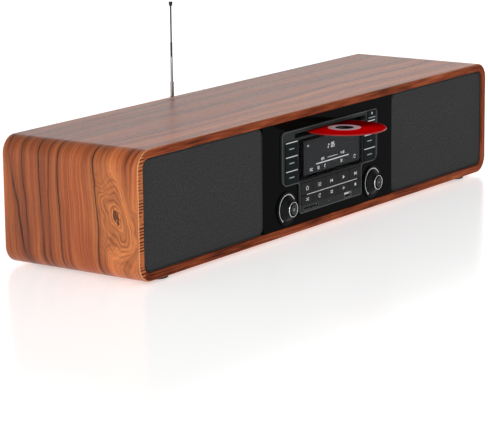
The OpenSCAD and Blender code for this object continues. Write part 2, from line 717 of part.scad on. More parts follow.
tube_2_top = tube_1_top + tube_out[0];
tube_3_top = tube_2_top + tube_out[1];
tube_4_top = tube_3_top + tube_out[2];

// ---- Feet and fasteners ----

module rubber_feet() color("black") for (sx = [-1, 1], sy = [-1, 1])
    translate([sx * foot_x, sy * foot_y, 0])
        cylinder(h = foot_h, r1 = foot_r - foot_taper, r2 = foot_r);

// Screws of the rear panel and of the four corners of each driver
module case_screws() color("black") {
    for (s = [-1, 1], x = rear_screw_x, z = [-1, 1]) {
        bar(s * x, mid_z + z * rear_screw_z, screw_r, rear_y - 6, rear_out + 0.1);
        bar(s * x, mid_z + z * rear_screw_z, 3, rear_out, rear_out + 1.2, 2.2);
    }
    for (s = [-1, 1], a = [45:90:315])
        translate([s * driver_x, baffle_y, mid_z]) rotate([-90, a, 0])
            translate([screw_ring, 0, -0.9]) {
                cylinder(h = 0.9, r1 = 1.8, r2 = 2.8);
                translate([0, 0, 0.8]) cylinder(h = baffle_t, r = 1.4);
            }
}

cabinet_shell();
front_baffle();
rear_panel();
rubber_feet();
grille_frames();
grille_cloth(-1);  // left_grille_cloth
grille_cloth(1);  // right_grille_cloth
gloss_panel();
control_bezel();
display_lens();
display_module();
side_key(-1, 2);  // left_key_top
side_key(-1, 1);  // left_key_middle
side_key(-1, 0);  // left_key_bottom
side_key(1, 2);  // right_key_top
side_key(1, 1);  // right_key_middle
side_key(1, 0);  // right_key_bottom
eject_key();
upper_key(1);  // upper_key_1
upper_key(2);  // upper_key_2
upper_key(3);  // upper_key_3
upper_key(4);  // upper_key_4
upper_key(5);  // upper_key_5
lower_key(1);  // lower_key_1
lower_key(2);  // lower_key_2
lower_key(3);  // lower_key_3
lower_key(4);  // lower_key_4
lower_key(5);  // lower_key_5
key_board();
knob(-1);  // volume_knob
knob(1);  // tuning_knob
knob_cap(-1);  // power_button
knob_cap(1);  // select_button
knob_scale_rings();
rotary_encoders();
usb_socket();
card_socket();
compact_disc();
disc_chassis();
feed_roller();
traverse_deck();
turntable();
clamp_arm();
laser_sled();
driver_frame(-1);  // left_driver_frame
driver_frame(1);  // right_driver_frame
speaker_cone(-1);  // left_cone
speaker_cone(1);  // right_cone
port_tubes();
main_board();
heat_sink();
rear_sockets();
power_switch();
antenna_swivel();
antenna_knuckle();
tube_1();  // antenna_tube_1
inner_tube(1, tube_2_top);  // antenna_tube_2
inner_tube(2, tube_3_top);  // antenna_tube_3
union() {  // antenna_tube_4
    inner_tube(3, tube_4_top);
    tube_tip(tube_4_top);
}
case_screws();
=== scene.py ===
"""Looks of the mini hifi system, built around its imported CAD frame. Lengths are in millimetres
until a mesh is made; the frame and Blender are in metres."""

import json
import math

import bmesh
import bpy
from mathutils import Matrix, Vector


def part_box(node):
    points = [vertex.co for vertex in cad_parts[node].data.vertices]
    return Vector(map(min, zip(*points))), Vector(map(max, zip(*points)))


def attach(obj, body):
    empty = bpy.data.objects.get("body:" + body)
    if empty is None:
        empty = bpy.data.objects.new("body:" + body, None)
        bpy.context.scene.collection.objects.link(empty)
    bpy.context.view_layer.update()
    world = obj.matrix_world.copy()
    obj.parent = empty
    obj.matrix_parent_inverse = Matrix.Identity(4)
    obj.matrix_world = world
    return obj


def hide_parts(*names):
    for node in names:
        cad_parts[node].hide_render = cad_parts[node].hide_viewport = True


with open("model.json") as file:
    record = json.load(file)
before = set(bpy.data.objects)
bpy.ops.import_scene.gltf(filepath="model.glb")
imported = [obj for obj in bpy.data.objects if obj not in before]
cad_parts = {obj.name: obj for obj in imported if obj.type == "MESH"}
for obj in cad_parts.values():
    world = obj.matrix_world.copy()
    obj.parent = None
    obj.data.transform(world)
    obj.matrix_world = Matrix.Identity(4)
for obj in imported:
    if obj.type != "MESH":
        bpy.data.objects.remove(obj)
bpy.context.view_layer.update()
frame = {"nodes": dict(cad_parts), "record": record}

MM = 0.001


def box(node):
    """Lowest and highest corner of a CAD node, in millimetres."""
    low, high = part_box(node)
    return low / MM, high / MM


def face_of(node):
    """A node seen from the front, in millimetres: middle x and z, width, height and front y."""
    low, high = box(node)
    return (low.x + high.x) / 2, (low.z + high.z) / 2, high.x - low.x, high.z - low.z, low.y


# ----- camera, lights, floor

# The camera, in metres, degrees and a lens in millimetres
CAMERA_PLACE = (-1.774354, -1.221181, 0.469436)
CAMERA_YAW = 54.876
CAMERA_PITCH = 12.256
CAMERA_ROLL = -0.628
CAMERA_LENS = 166.81

FLOOR_HALF = 6.0  # metres
HORIZON_LIGHT = 1.05
ZENITH_LIGHT = 0.34


def add_object(name, data):
    made = bpy.data.objects.new(name, data)
    bpy.context.scene.collection.objects.link(made)
    return made


def add_camera():
    data = bpy.data.cameras.new("view")
    data.lens = CAMERA_LENS
    data.sensor_width = 36
    data.clip_start = 0.05
    camera = add_object("view", data)
    camera.matrix_world = (
        Matrix.Translation(CAMERA_PLACE)
        @ Matrix.Rotation(math.radians(-CAMERA_YAW), 4, "Z")
        @ Matrix.Rotation(math.radians(90 - CAMERA_PITCH), 4, "X")
        @ Matrix.Rotation(math.radians(CAMERA_ROLL), 4, "Z")
    )
    bpy.context.scene.camera = camera


def add_light(name, place, target, size, watts, colour=(1, 1, 1)):
    data = bpy.data.lights.new(name, "AREA")
    data.shape = "RECTANGLE"
    data.size, data.size_y = size
    data.energy = watts
    data.color = colour
    light = add_object(name, data)
    light.location = place
    light.rotation_euler = (Vector(target) - Vector(place)).to_track_quat("-Z", "Y").to_euler()


def add_world():
    """An even white studio, brighter towards the horizon than overhead."""
    world = bpy.data.worlds.new("studio")
    world.use_nodes = True
    tree = world.node_tree
    direction = tree.nodes.new("ShaderNodeTexCoord")
    parts = tree.nodes.new("ShaderNodeSeparateXYZ")
    fall = tree.nodes.new("ShaderNodeMapRange")
    for key, value in (("From Max", 0.7), ("To Min", HORIZON_LIGHT), ("To Max", ZENITH_LIGHT)):
        fall.inputs[key].default_value = value
    background = tree.nodes["Background"]
    background.inputs["Color"].default_value = (1, 1, 1, 1)
    tree.links.new(direction.outputs["Generated"], parts.inputs["Vector"])
    tree.links.new(parts.outputs["Z"], fall.inputs["Value"])
    tree.links.new(fall.outputs["Result"], background.inputs["Strength"])
    bpy.context.scene.world = world
    bpy.context.scene.view_settings.view_transform = "Standard"


# ----- materials


class Shader:
    """One procedural material. Values handed about are output sockets or plain numbers."""

    def __init__(self, name, **inputs):
        self.material = bpy.data.materials.new(name)
        self.material.use_nodes = True
        self.tree = self.material.node_tree
        self.out = self.tree.nodes["Principled BSDF"]
        for key, value in inputs.items():
            self.put(self.out, key.replace("_", " "), value)

    def put(self, node, key, value):
        if isinstance(value, bpy.types.NodeSocket):
            self.tree.links.new(value, node.inputs[key])
        elif isinstance(value, tuple) and len(value) == 3 and node.inputs[key].type == "RGBA":
            node.inputs[key].default_value = (*value, 1)
        else:
            node.inputs[key].default_value = value

    def node(self, kind, inputs=None, **settings):
        made = self.tree.nodes.new(kind)
        for key, value in settings.items():
            setattr(made, key, value)
        for key, value in (inputs or {}).items():
            self.put(made, key, value)
        return made

    def set(self, key, value):
        self.put(self.out, key, value)

    def place(self):
        """The point on the object, in metres."""
        return self.node("ShaderNodeTexCoord").outputs["Object"]

    def split(self, vector):
        return self.node("ShaderNodeSeparateXYZ", {"Vector": vector}).outputs

    def join(self, x, y):
        return self.node("ShaderNodeCombineXYZ", {"X": x, "Y": y}).outputs["Vector"]

    def math(self, operation, a, b=0.0):
        return self.node("ShaderNodeMath", {0: a, 1: b}, operation=operation).outputs["Value"]

    def plus(self, a, b):
        return self.math("ADD", a, b)

    def minus(self, a, b):
        return self.math("SUBTRACT", a, b)

    def times(self, a, b):
        return self.math("MULTIPLY", a, b)

    def noise(self, vector, scale, detail, rough=0.5):
        inputs = {"Vector": vector, "Scale": scale, "Detail": detail, "Roughness": rough}
        return self.node("ShaderNodeTexNoise", inputs).outputs["Fac"]

    def between(self, value, low, high, to_low=0.0, to_high=1.0):
        inputs = {"Value": value, "From Min": low, "From Max": high, "To Min": to_low, "To Max": to_high}
        made = self.node("ShaderNodeMapRange", inputs, interpolation_type="SMOOTHSTEP")
        return made.outputs["Result"]

    def ramp(self, factor, stops):
        made = self.node("ShaderNodeValToRGB", {"Fac": factor})
        points = made.color_ramp.elements
        while len(points) < len(stops):
            points.new(0.5)
        for point, (place, tone) in zip(points, stops):
            point.position = place
            point.color = (*tone, 1)
        return made.outputs["Color"]

    def mix(self, factor, a, b):
        made = self.node("ShaderNodeMix", {"Factor": factor}, data_type="RGBA")
        self.put(made, 6, a)
        self.put(made, 7, b)
        return made.outputs[2]

    def streaked(self, vector, scale, detail, rough=0.5):
        """Noise stretched differently along each axis."""
        stretched = self.node("ShaderNodeMapping", {"Vector": vector, "Scale": scale})
        return self.noise(stretched.outputs["Vector"], 1, detail, rough)

    def grain(self, u, v, scale_u, scale_v, detail, rough=0.5):
        """Noise on the plane of two values, with its own scale along each."""
        flat = self.join(self.times(u, scale_u), self.times(v, scale_v))
        return self.noise(flat, 1, detail, rough)

    def colour(self, factor, a, b):
        self.set("Base Color", self.mix(factor, a, b))

    def roughness(self, value, low, high):
        """Roughness from low to high, as a noise value crosses its middle range."""
        self.set("Roughness", self.between(value, 0.3, 0.7, low, high))

    def bump(self, height, depth, strength=1.0):
        inputs = {"Height": height, "Distance": depth * MM, "Strength": strength}
        self.set("Normal", self.node("ShaderNodeBump", inputs).outputs["Normal"])


def shade(colour, factor):
    return tuple(min(1.0, c * factor) for c in colour)


# The UV map "veneer" is in metres: X is the distance round the case, Y the place in its depth, which
# runs on over the front edge. The knot's place on it, and the long dark lines: place in depth, half
# width, and lean about the middle of the left side.
KNOT_WRAP = 0.347
KNOT_DEPTH = -0.051
LEFT_SIDE_MIDDLE = 0.35
DARK_LINES = [(-0.031, 0.0012, 0.02), (0.0105, 0.0009, 0.0), (0.0215, 0.0006, -0.03),
              (0.031, 0.0011, 0.03), (0.0485, 0.0009, 0.05), (0.0575, 0.0016, 0.16)]
WOOD_DARK = (0.045, 0.011, 0.006)
# the next colour is painted shade, which the case takes on towards its back
WOOD_BACK_SHADE = (0.20, 0.056, 0.023)
WOOD_RED = (0.26, 0.05, 0.018)
WOOD_LIGHT = (0.78, 0.30, 0.095)
# the next colour is a painted highlight for the lip's rounded front edge
WOOD_EDGE_HIGHLIGHT = (0.86, 0.46, 0.25)


def knot_reach(s, wrap, depth, flat):
    """Distance from the knot, longer along the grain and leaning, with its rings stirred."""
    along = s.minus(wrap, KNOT_WRAP)
    across = s.minus(s.minus(depth, KNOT_DEPTH), s.times(along, 0.3))
    along = s.times(along, 0.6)
    reach = s.math("SQRT", s.plus(s.times(along, along), s.times(across, across)))
    swirl = s.minus(s.streaked(flat, (42, 70, 1), 1.6, 0.35), 0.5)
    return s.plus(reach, s.times(swirl, 0.018))


def with_knot(s, colour, reach, flat):
    """The knot's rings and its dark eye."""
    rings = s.between(s.math("SINE", s.plus(s.times(reach, 1900), 2.2)), -0.1, 1)
    rings = s.times(rings, s.between(reach, 0.034, 0.01))
    patchy = s.between(s.streaked(flat, (60, 90, 1), 1), 0.35, 0.6, 0.25, 0.7)
    colour = s.mix(s.times(rings, patchy), colour, (0.19, 0.045, 0.014))
    ragged = s.minus(s.streaked(flat, (330, 420, 1), 2), 0.5)
    ragged = s.plus(reach, s.times(ragged, 0.011))
    return s.mix(s.between(ragged, 0.0052, 0.0028, 0.0, 0.85), colour, WOOD_DARK)


def with_dark_lines(s, colour, wrap, line, flat):
    """Long dark lines, fainter in places, each with a softer shade at both sides."""
    weight = s.between(s.streaked(flat, (14, 50, 1), 2), 0.25, 0.6, 0.3, 0.95)
    for place, width, lean in DARK_LINES:
        here = s.minus(line, s.times(s.minus(wrap, LEFT_SIDE_MIDDLE), lean))
        gap = s.math("ABSOLUTE", s.minus(here, place))
        colour = s.mix(s.between(gap, width * 7, 0.0, 0.0, 0.45), colour, (0.12, 0.03, 0.012))
        colour = s.mix(s.times(s.between(gap, width, width * 0.3), weight), colour, WOOD_DARK)
    return colour


def walnut():
    """Veneer wrapped round the case, with a knot on the left side."""
    s = Shader("walnut", Specular_IOR_Level=0.24)
    wrap, depth, _ = s.split(s.node("ShaderNodeUVMap", uv_map="veneer").outputs["UV"])
    flat = s.join(wrap, depth)
    # depth as the grain sees it: wandering, and bent round the knot
    slow = s.minus(s.streaked(flat, (6, 9, 1), 2), 0.5)
    quick = s.minus(s.streaked(flat, (45, 60, 1), 2), 0.5)
    line = s.plus(s.plus(depth, s.times(slow, 0.022)), s.times(quick, 0.0032))
    reach = knot_reach(s, wrap, depth, flat)
    bend = {"Factor": s.between(reach, 0.026, 0.008), 2: line, 3: s.plus(reach, KNOT_DEPTH)}
    line = s.node("ShaderNodeMix", bend, data_type="FLOAT").outputs[0]
    # broad bands and fine streaks
    bands = s.grain(wrap, line, 1.5, 80, 4, 0.62)
    streaks = s.grain(wrap, line, 9, 560, 3, 0.65)
    tone = s.plus(s.times(bands, 0.56), s.times(streaks, 0.44))
    colour = s.ramp(tone, [(0.36, (0.13, 0.026, 0.009)), (0.45, (0.31, 0.072, 0.022)),
                           (0.53, (0.47, 0.125, 0.037)), (0.64, (0.68, 0.22, 0.07))])
    # brighter round the knot, darker and browner towards the back as painted shade of the light falling
    # off along the case, redder in front of the middle
    colour = s.mix(s.between(reach, 0.045, 0.015, 0.0, 0.3), colour, WOOD_LIGHT)
    colour = s.mix(s.between(depth, -0.035, 0.045, 0.0, 0.42), colour, WOOD_BACK_SHADE)
    red = s.times(s.between(line, -0.026, -0.020), s.between(line, 0.004, -0.006))
    colour = s.mix(s.times(red, 0.34), colour, WOOD_RED)
    colour = with_knot(s, colour, reach, flat)
    colour = with_dark_lines(s, colour, wrap, line, flat)
    pores = s.grain(wrap, depth, 160, 2400, 2)
    dots = s.between(pores, 0.6, 0.72)
    s.colour(s.times(dots, 0.5), colour, (0.08, 0.02, 0.009))
    matt = s.plus(pores, s.times(streaks, 0.5))
    s.set("Roughness", s.between(matt, 0.5, 1.0, 0.26, 0.42))
    s.bump(s.minus(s.times(streaks, 0.3), dots), 0.035, 0.5)
    return s.material


def lip_wood():
    """Solid edging of the front lip, dull and darker than the veneer, its darker tone partly painted
    shade of the front-facing lip. Its streaks run round the case;
    the left upright shows end grain instead, and a painted highlight along its rounded front edge."""
    s = Shader("lip_wood", Specular_IOR_Level=0.02)
    wrap, depth, _ = s.split(s.node("ShaderNodeUVMap", uv_map="veneer").outputs["UV"])
    at = s.place()
    x, _, z = s.split(at)
    upright = s.between(x, -0.2905, -0.2925)
    streaks = s.grain(wrap, depth, 26, 620, 3, 0.6)
    patches = s.grain(wrap, depth, 13, 60, 2)
    tone = s.plus(s.times(streaks, 0.55), s.times(patches, 0.45))
    # darker than the veneer: partly the edging's own tone, partly painted shade of the front-facing lip
    long_grain = s.ramp(tone, [(0.36, (0.050, 0.011, 0.006)), (0.45, (0.165, 0.034, 0.013)),
                               (0.54, (0.265, 0.058, 0.021)), (0.66, (0.42, 0.115, 0.045))])
    ground = s.mix(patches, (0.40, 0.105, 0.032), (0.62, 0.20, 0.07))
    drift = s.times(s.streaked(at, (12, 1, 62), 2), 15)
    rungs = s.between(s.math("SINE", s.plus(s.times(z, 2150), drift)), -0.05, 0.5)
    strong = s.between(s.streaked(at, (70, 1, 95), 2), 0.38, 0.52, 0.12, 0.92)
    end_grain = s.mix(s.times(rungs, strong), ground, (0.045, 0.011, 0.006))
    colour = s.mix(upright, long_grain, end_grain)
    # painted highlight: the rounded front edge catching the light, strongest on the left upright
    edge_highlight = s.times(s.between(depth, -0.0757, -0.0750), s.between(x, -0.275, -0.292, 0.12, 0.6))
    s.colour(edge_highlight, colour, WOOD_EDGE_HIGHLIGHT)
    s.roughness(streaks, 0.42, 0.6)
    s.bump(streaks, 0.03, 0.5)
    return s.material


def moulded(name, colour, rough, specular, grain, relief):
    """Moulded plastic: nearly even colour, with a fine spark-eroded grain and faint handling marks."""
    s = Shader(name, Specular_IOR_Level=specular)
    at = s.place()
    clouds = s.noise(at, 28, 4, 0.6)
    fine = s.noise(at, grain, 2)
    s.colour(clouds, shade(colour, 0.82), shade(colour, 1.2))
    wear = s.plus(s.times(clouds, 0.7), s.times(fine, 0.3))
    s.set("Roughness", s.between(wear, 0.35, 0.65, rough * 0.85, min(1.0, rough * 1.18)))
    s.bump(fine, relief)
    return s.material


def metal(name, colour, rough, brushed, relief):
    """Bare or plated metal, brushed along the axes that brushed stretches."""
    s = Shader(name, Metallic=1.0)
    at = s.place()
    marks = s.streaked(at, tuple(b * 900 for b in brushed), 3, 0.6)
    clouds = s.noise(at, 35, 3)
    s.colour(clouds, shade(colour, 0.86), shade(colour, 1.06))
    s.roughness(marks, rough * 0.7, rough * 1.35)
    s.bump(marks, relief, 0.4)
    return s.material


THREADS = 1.15  # pitch of the grille cloth's threads


def grille_cloth():
    s = Shader("grille_cloth", Specular_IOR_Level=0.12, Sheen_Weight=0.04, Sheen_Roughness=0.5)
    at = s.place()
    x, _, z = s.split(at)
    turn = 2 * math.pi / (THREADS * MM)
    warp = s.math("SINE", s.times(x, turn))
    weft = s.math("SINE", s.times(z, turn))
    over = s.times(warp, weft)
    weave = s.between(over, -0.9, 0.9)
    fuzz = s.noise(at, 1500, 2)
    clouds = s.noise(at, 22, 3)
    height = s.plus(weave, s.times(fuzz, 0.5))
    slubs = s.between(s.noise(at, 560, 3, 0.7), 0.36, 0.64)
    colour = s.mix(height, (0.008, 0.008, 0.0085), (0.034, 0.034, 0.0355))
    colour = s.mix(s.times(slubs, 0.6), colour, (0.055, 0.055, 0.057))
    s.colour(s.times(clouds, 0.3), colour, (0.022, 0.022, 0.023))
    s.roughness(fuzz, 0.8, 0.98)
    s.bump(height, 0.12, 0.6)
    return s.material


VIEW_HALF_X = 49  # lit area of the display
VIEW_HALF_Z = 16.4
VIEW_SHIFT = 1.5  # from the middle of the module to the middle of the lit area


def display_glow():
    """Lit picture of the display: an even grey backlight that falls off towards its edges."""
    s = Shader("display", Specular_IOR_Level=0.0)
    low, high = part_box("display_module")
    x, _, z = s.split(s.place())
    middle = (low + high) / 2 + Vector((VIEW_SHIFT * MM, 0, 0))
    half = (high - low) / 2
    off_x = s.math("DIVIDE", s.minus(x, middle.x), half.x)
    off_z = s.math("DIVIDE", s.minus(z, middle.z), half.z)
    away = s.plus(s.times(off_x, off_x), s.times(off_z, off_z))
    cells = s.noise(s.place(), 2500, 1)
    light = s.between(away, 0.2, 2.2, 1.0, 0.8)
    light = s.times(light, s.between(cells, 0.3, 0.7, 0.93, 1.05))
    for off, size in ((off_x, VIEW_HALF_X * MM / half.x), (off_z, VIEW_HALF_Z * MM / half.z)):
        inside = s.math("LESS_THAN", s.math("ABSOLUTE", off), size)
        light = s.times(light, inside)
    s.colour(light, (0.0, 0.0, 0.0), (0.02, 0.021, 0.023))
    s.set("Emission Color", s.mix(light, (0.0, 0.0, 0.0), (0.043, 0.044, 0.046)))
    s.set("Emission Strength", 0.56)
    s.roughness(cells, 0.3, 0.4)
    return s.material


def printed(name, colour, glow=0.0):
    """Printed or lit marks, and the painted highlight round the bezel's edge, slightly uneven in
    density.
    """
    s = Shader(name, Specular_IOR_Level=0.3)
    density = s.between(s.noise(s.place(), 900, 2), 0.25, 0.75)
    tint = s.mix(density, shade(colour, 0.8), shade(colour, 1.1))
    s.set("Base Color", tint)
    s.set("Roughness", s.between(density, 0, 1, 0.4, 0.55))
    if glow:
        s.set("Emission Color", tint)
        s.set("Emission Strength", glow)
    return s.material


def clear_plastic(name, tint, cover):
    """A thin smoked sheet: cover is how much of what lies behind it is hidden."""
    s = Shader(name, Specular_IOR_Level=0.1, Alpha=cover)
    haze = s.noise(s.place(), 45, 3)
    s.colour(haze, shade(tint, 0.8), tint)
    s.roughness(haze, 0.08, 0.12)
    return s.material


def circuit_board():
    s = Shader("circuit_board", Specular_IOR_Level=0.45)
    x, y, z = s.split(s.place())
    tracks = s.node("ShaderNodeTexBrick", {"Vector": s.join(x, s.plus(y, z)), "Scale": 130.0,
                                           "Mortar Size": 0.06}).outputs["Fac"]
    blotch = s.noise(s.place(), 60, 3)
    green = s.mix(blotch, (0.008, 0.075, 0.03), (0.012, 0.115, 0.045))
    s.colour(s.times(tracks, 0.5), green, (0.03, 0.2, 0.075))
    s.roughness(blotch, 0.3, 0.42)
    s.bump(tracks, 0.05, 0.5)
    return s.material


def fibreboard():
    s = Shader("fibreboard", Specular_IOR_Level=0.2)
    fibres = s.streaked(s.place(), (500, 900, 500), 4, 0.7)
    clouds = s.noise(s.place(), 18, 3)
    colour = s.mix(fibres, (0.30, 0.19, 0.10), (0.47, 0.33, 0.20))
    s.colour(s.times(clouds, 0.4), colour, (0.36, 0.25, 0.15))
    s.roughness(fibres, 0.78, 0.95)
    s.bump(fibres, 0.08, 0.5)
    return s.material


def cone_paper():
    s = Shader("cone_paper", Specular_IOR_Level=0.3)
    pulp = s.noise(s.place(), 700, 4, 0.7)
    s.colour(pulp, (0.012, 0.012, 0.012), (0.04, 0.039, 0.038))
    s.roughness(pulp, 0.7, 0.9)
    s.bump(pulp, 0.1, 0.6)
    return s.material


def disc_print(name, bright, reflection_dark, rough, specular):
    """Printed side of the disc, with a painted reflection that darkens one half, and faint turning
    marks.
    """
    s = Shader(name, Specular_IOR_Level=specular)
    low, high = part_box("compact_disc")
    middle = (low + high) / 2
    x, y, _ = s.split(s.place())
    dx = s.minus(x, middle.x)
    dy = s.minus(y, middle.y)
    angle = s.math("ARCTAN2", dy, dx)
    # painted reflection: one half of the disc darker, as its gloss shows it under this light
    reflection_sweep = s.between(s.math("COSINE", s.plus(angle, -0.25)), 0.15, 0.95)
    radius = s.math("SQRT", s.plus(s.times(dx, dx), s.times(dy, dy)))
    turning = s.noise(s.join(s.times(radius, 3000), 0.0), 1, 2)
    s.colour(reflection_sweep, bright, reflection_dark)
    s.roughness(turning, rough * 0.8, rough * 1.2)
    s.bump(turning, 0.004, 0.3)
    return s.material


def floor_material():
    s = Shader("floor", Specular_IOR_Level=0.35)
    clouds = s.noise(s.place(), 1.2, 3)
    s.colour(clouds, (0.86, 0.86, 0.86), (0.88, 0.88, 0.88))
    s.roughness(clouds, 0.16, 0.2)
    s.set("Emission Color", (1, 1, 1, 1))
    s.set("Emission Strength", 0.5)
    return s.material


# colour, roughness, specular level, grain's scale and its relief in millimetres
MOULDED = {
    "rear_board": ((0.022, 0.022, 0.023), 0.6, 0.4, 1300, 0.06),
    "gloss_black": ((0.0022, 0.0028, 0.0024), 0.09, 0.012, 700, 0.001),
    "bezel_black": ((0.026, 0.028, 0.028), 0.36, 0.03, 2200, 0.012),
    "key_grey": ((0.018, 0.0185, 0.0185), 0.34, 0.03, 2400, 0.01),
    "key_black": ((0.0062, 0.0095, 0.0105), 0.3, 0.02, 2400, 0.01),
    "knob_black": ((0.005, 0.0055, 0.006), 0.2, 0.1, 1200, 0.004),
    "ring_black": ((0.004, 0.0045, 0.005), 0.3, 0.03, 1600, 0.01),
    "driver_metal": ((0.02, 0.02, 0.021), 0.42, 0.5, 900, 0.03),
    "black_plastic": ((0.016, 0.016, 0.017), 0.4, 0.5, 1500, 0.02),
    "rubber": ((0.012, 0.012, 0.012), 0.85, 0.3, 1200, 0.08),
    "disc_rim": ((0.34, 0.02, 0.02), 0.2, 0.2, 900, 0.002),
    "disc_hub": ((0.006, 0.008, 0.007), 0.3, 0.0, 900, 0.002),
}
# colour, roughness, stretch of the brushing along each axis and its relief
METALS = {
    "chrome": ((0.82, 0.83, 0.85), 0.1, (1, 1, 1), 0.002),
    "chrome_tube": ((0.42, 0.43, 0.45), 0.22, (1, 1, 0.06), 0.004),
    "tube_dark": ((0.035, 0.035, 0.038), 0.2, (1, 1, 0.06), 0.004),
    "steel": ((0.52, 0.53, 0.55), 0.32, (0.1, 1, 1), 0.01),
    "aluminium": ((0.72, 0.73, 0.74), 0.38, (1, 0.08, 1), 0.01),
    "screw_black": ((0.06, 0.06, 0.065), 0.35, (1, 1, 1), 0.01),
    "socket_rim": ((0.15, 0.14, 0.135), 0.35, (1, 1, 1), 0.004),
}
MATERIALS = {
    "walnut": walnut(),
    "lip_wood": lip_wood(),
    "fibreboard": fibreboard(),
    "grille_cloth": grille_cloth(),
    "clear_lens": clear_plastic("clear_lens", (0.012, 0.013, 0.014), 0.16),
    "display": display_glow(),
    "cone_paper": cone_paper(),
    "circuit_board": circuit_board(),
    "disc_red": disc_print("disc_red", (0.66, 0.0, 0.001), (0.13, 0.0, 0.001), 0.3, 0.0),
    "disc_label": disc_print("disc_hub_print", (0.62, 0.42, 0.45), (0.56, 0.36, 0.40), 0.4, 0.0),
    **{name: moulded(name, *look) for name, look in MOULDED.items()},
    **{name: metal(name, *look) for name, look in METALS.items()},
}
WHITE_MARK = printed("white_mark", (0.72, 0.73, 0.75))
# grey for print, and for the painted highlight round the bezel's edge
GREY_PRINT_AND_HIGHLIGHT = printed("grey_print_and_highlight", (0.10, 0.106, 0.108))
DIM_MARK = printed("dim_mark", (0.42, 0.45, 0.47))
LIT_MARK = printed("lit_mark", (0.80, 0.82, 0.84), 0.65)
LAMP = printed("lamp", (0.10, 0.10, 0.11))


# ----- mesh builders


def add_piece(name, mesh, materials, body):
    """Links a mesh, made in millimetres in the row frame, as a piece that rides on a body."""
    mesh.transform(Matrix.Scale(MM, 4))
    for material in materials:
        mesh.materials.append(material)
    piece = add_object(name, mesh)
    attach(piece, body)
    return piece


def turn_outwards(mesh, smooth=True):
    """Merges doubled points and points every face outwards."""
    work = bmesh.new()
    work.from_mesh(mesh)
    bmesh.ops.remove_doubles(work, verts=work.verts, dist=1e-5)
    bmesh.ops.recalc_face_normals(work, faces=work.faces)
    work.to_mesh(mesh)
    work.free()
    mesh.polygons.foreach_set("use_smooth", [smooth] * len(mesh.polygons))


def finished_mesh(name, points, faces, smooth=True, tints=None):
    """A mesh from points and faces, with its normals outwards. tints gives each face's material."""
    mesh = bpy.data.meshes.new(name)
    mesh.from_pydata(points, [], faces)
    if tints:
        mesh.polygons.foreach_set("material_index", tints)
    turn_outwards(mesh, smooth)
    return mesh


def even_normals(piece):
    normals = piece.modifiers.new("normals", "WEIGHTED_NORMAL")
    normals.keep_sharp = False
    return normals


SHARP_ANGLE = 35  # edges that turn by more are rounded


def soften(piece, width, segments):
    """Rounds a piece's sharp edges, by width in millimetres, without changing its mesh."""
    weld = piece.modifiers.new("weld", "WELD")
    weld.merge_threshold = 1e-6
    bevel = piece.modifiers.new("round", "BEVEL")
    bevel.width = width * MM
    bevel.segments = segments
    bevel.limit_method = "ANGLE"
    bevel.angle_limit = math.radians(SHARP_ANGLE)
    even_normals(piece).weight = 60


def arc(cx, cy, radius, start, end, steps):
    """Points on an arc, angles in degrees."""
    turns = [math.radians(start + (end - start) * i / steps) for i in range(steps + 1)]
    return [(cx + radius * math.cos(t), cy + radius * math.sin(t)) for t in turns]


def lathe(name, profile, centre, axis, steps, tints=None, flutes=0, depth=0.0, fluted=()):
    """A turned shape. profile is (radius, distance along the axis), and a closed loop if its first
    point isn't on the axis. Points named in fluted pull in by depth, flutes times round."""
    spin = Vector((0, 0, 1)).rotation_difference(Vector(axis)).to_matrix()
    points, faces, marks = [], [], []
    count = len(profile)
    closed = profile[0][0] > 0
    for i in range(steps):
        turn = 2 * math.pi * i / steps
        for k, (radius, far) in enumerate(profile):
            r = radius
            if k in fluted:
                r -= depth * (0.5 - 0.5 * math.cos(flutes * turn))
            points.append(Vector(centre) + spin @ Vector((r * math.cos(turn), r * math.sin(turn), far)))
    for i in range(steps):
        j = (i + 1) % steps
        for k in range(count if closed else count - 1):
            m = (k + 1) % count
            faces.append([i * count + k, j * count + k, j * count + m, i * count + m])
            marks.append(tints[k] if tints else 0)
    return finished_mesh(name, points, faces, tints=marks if tints else None)


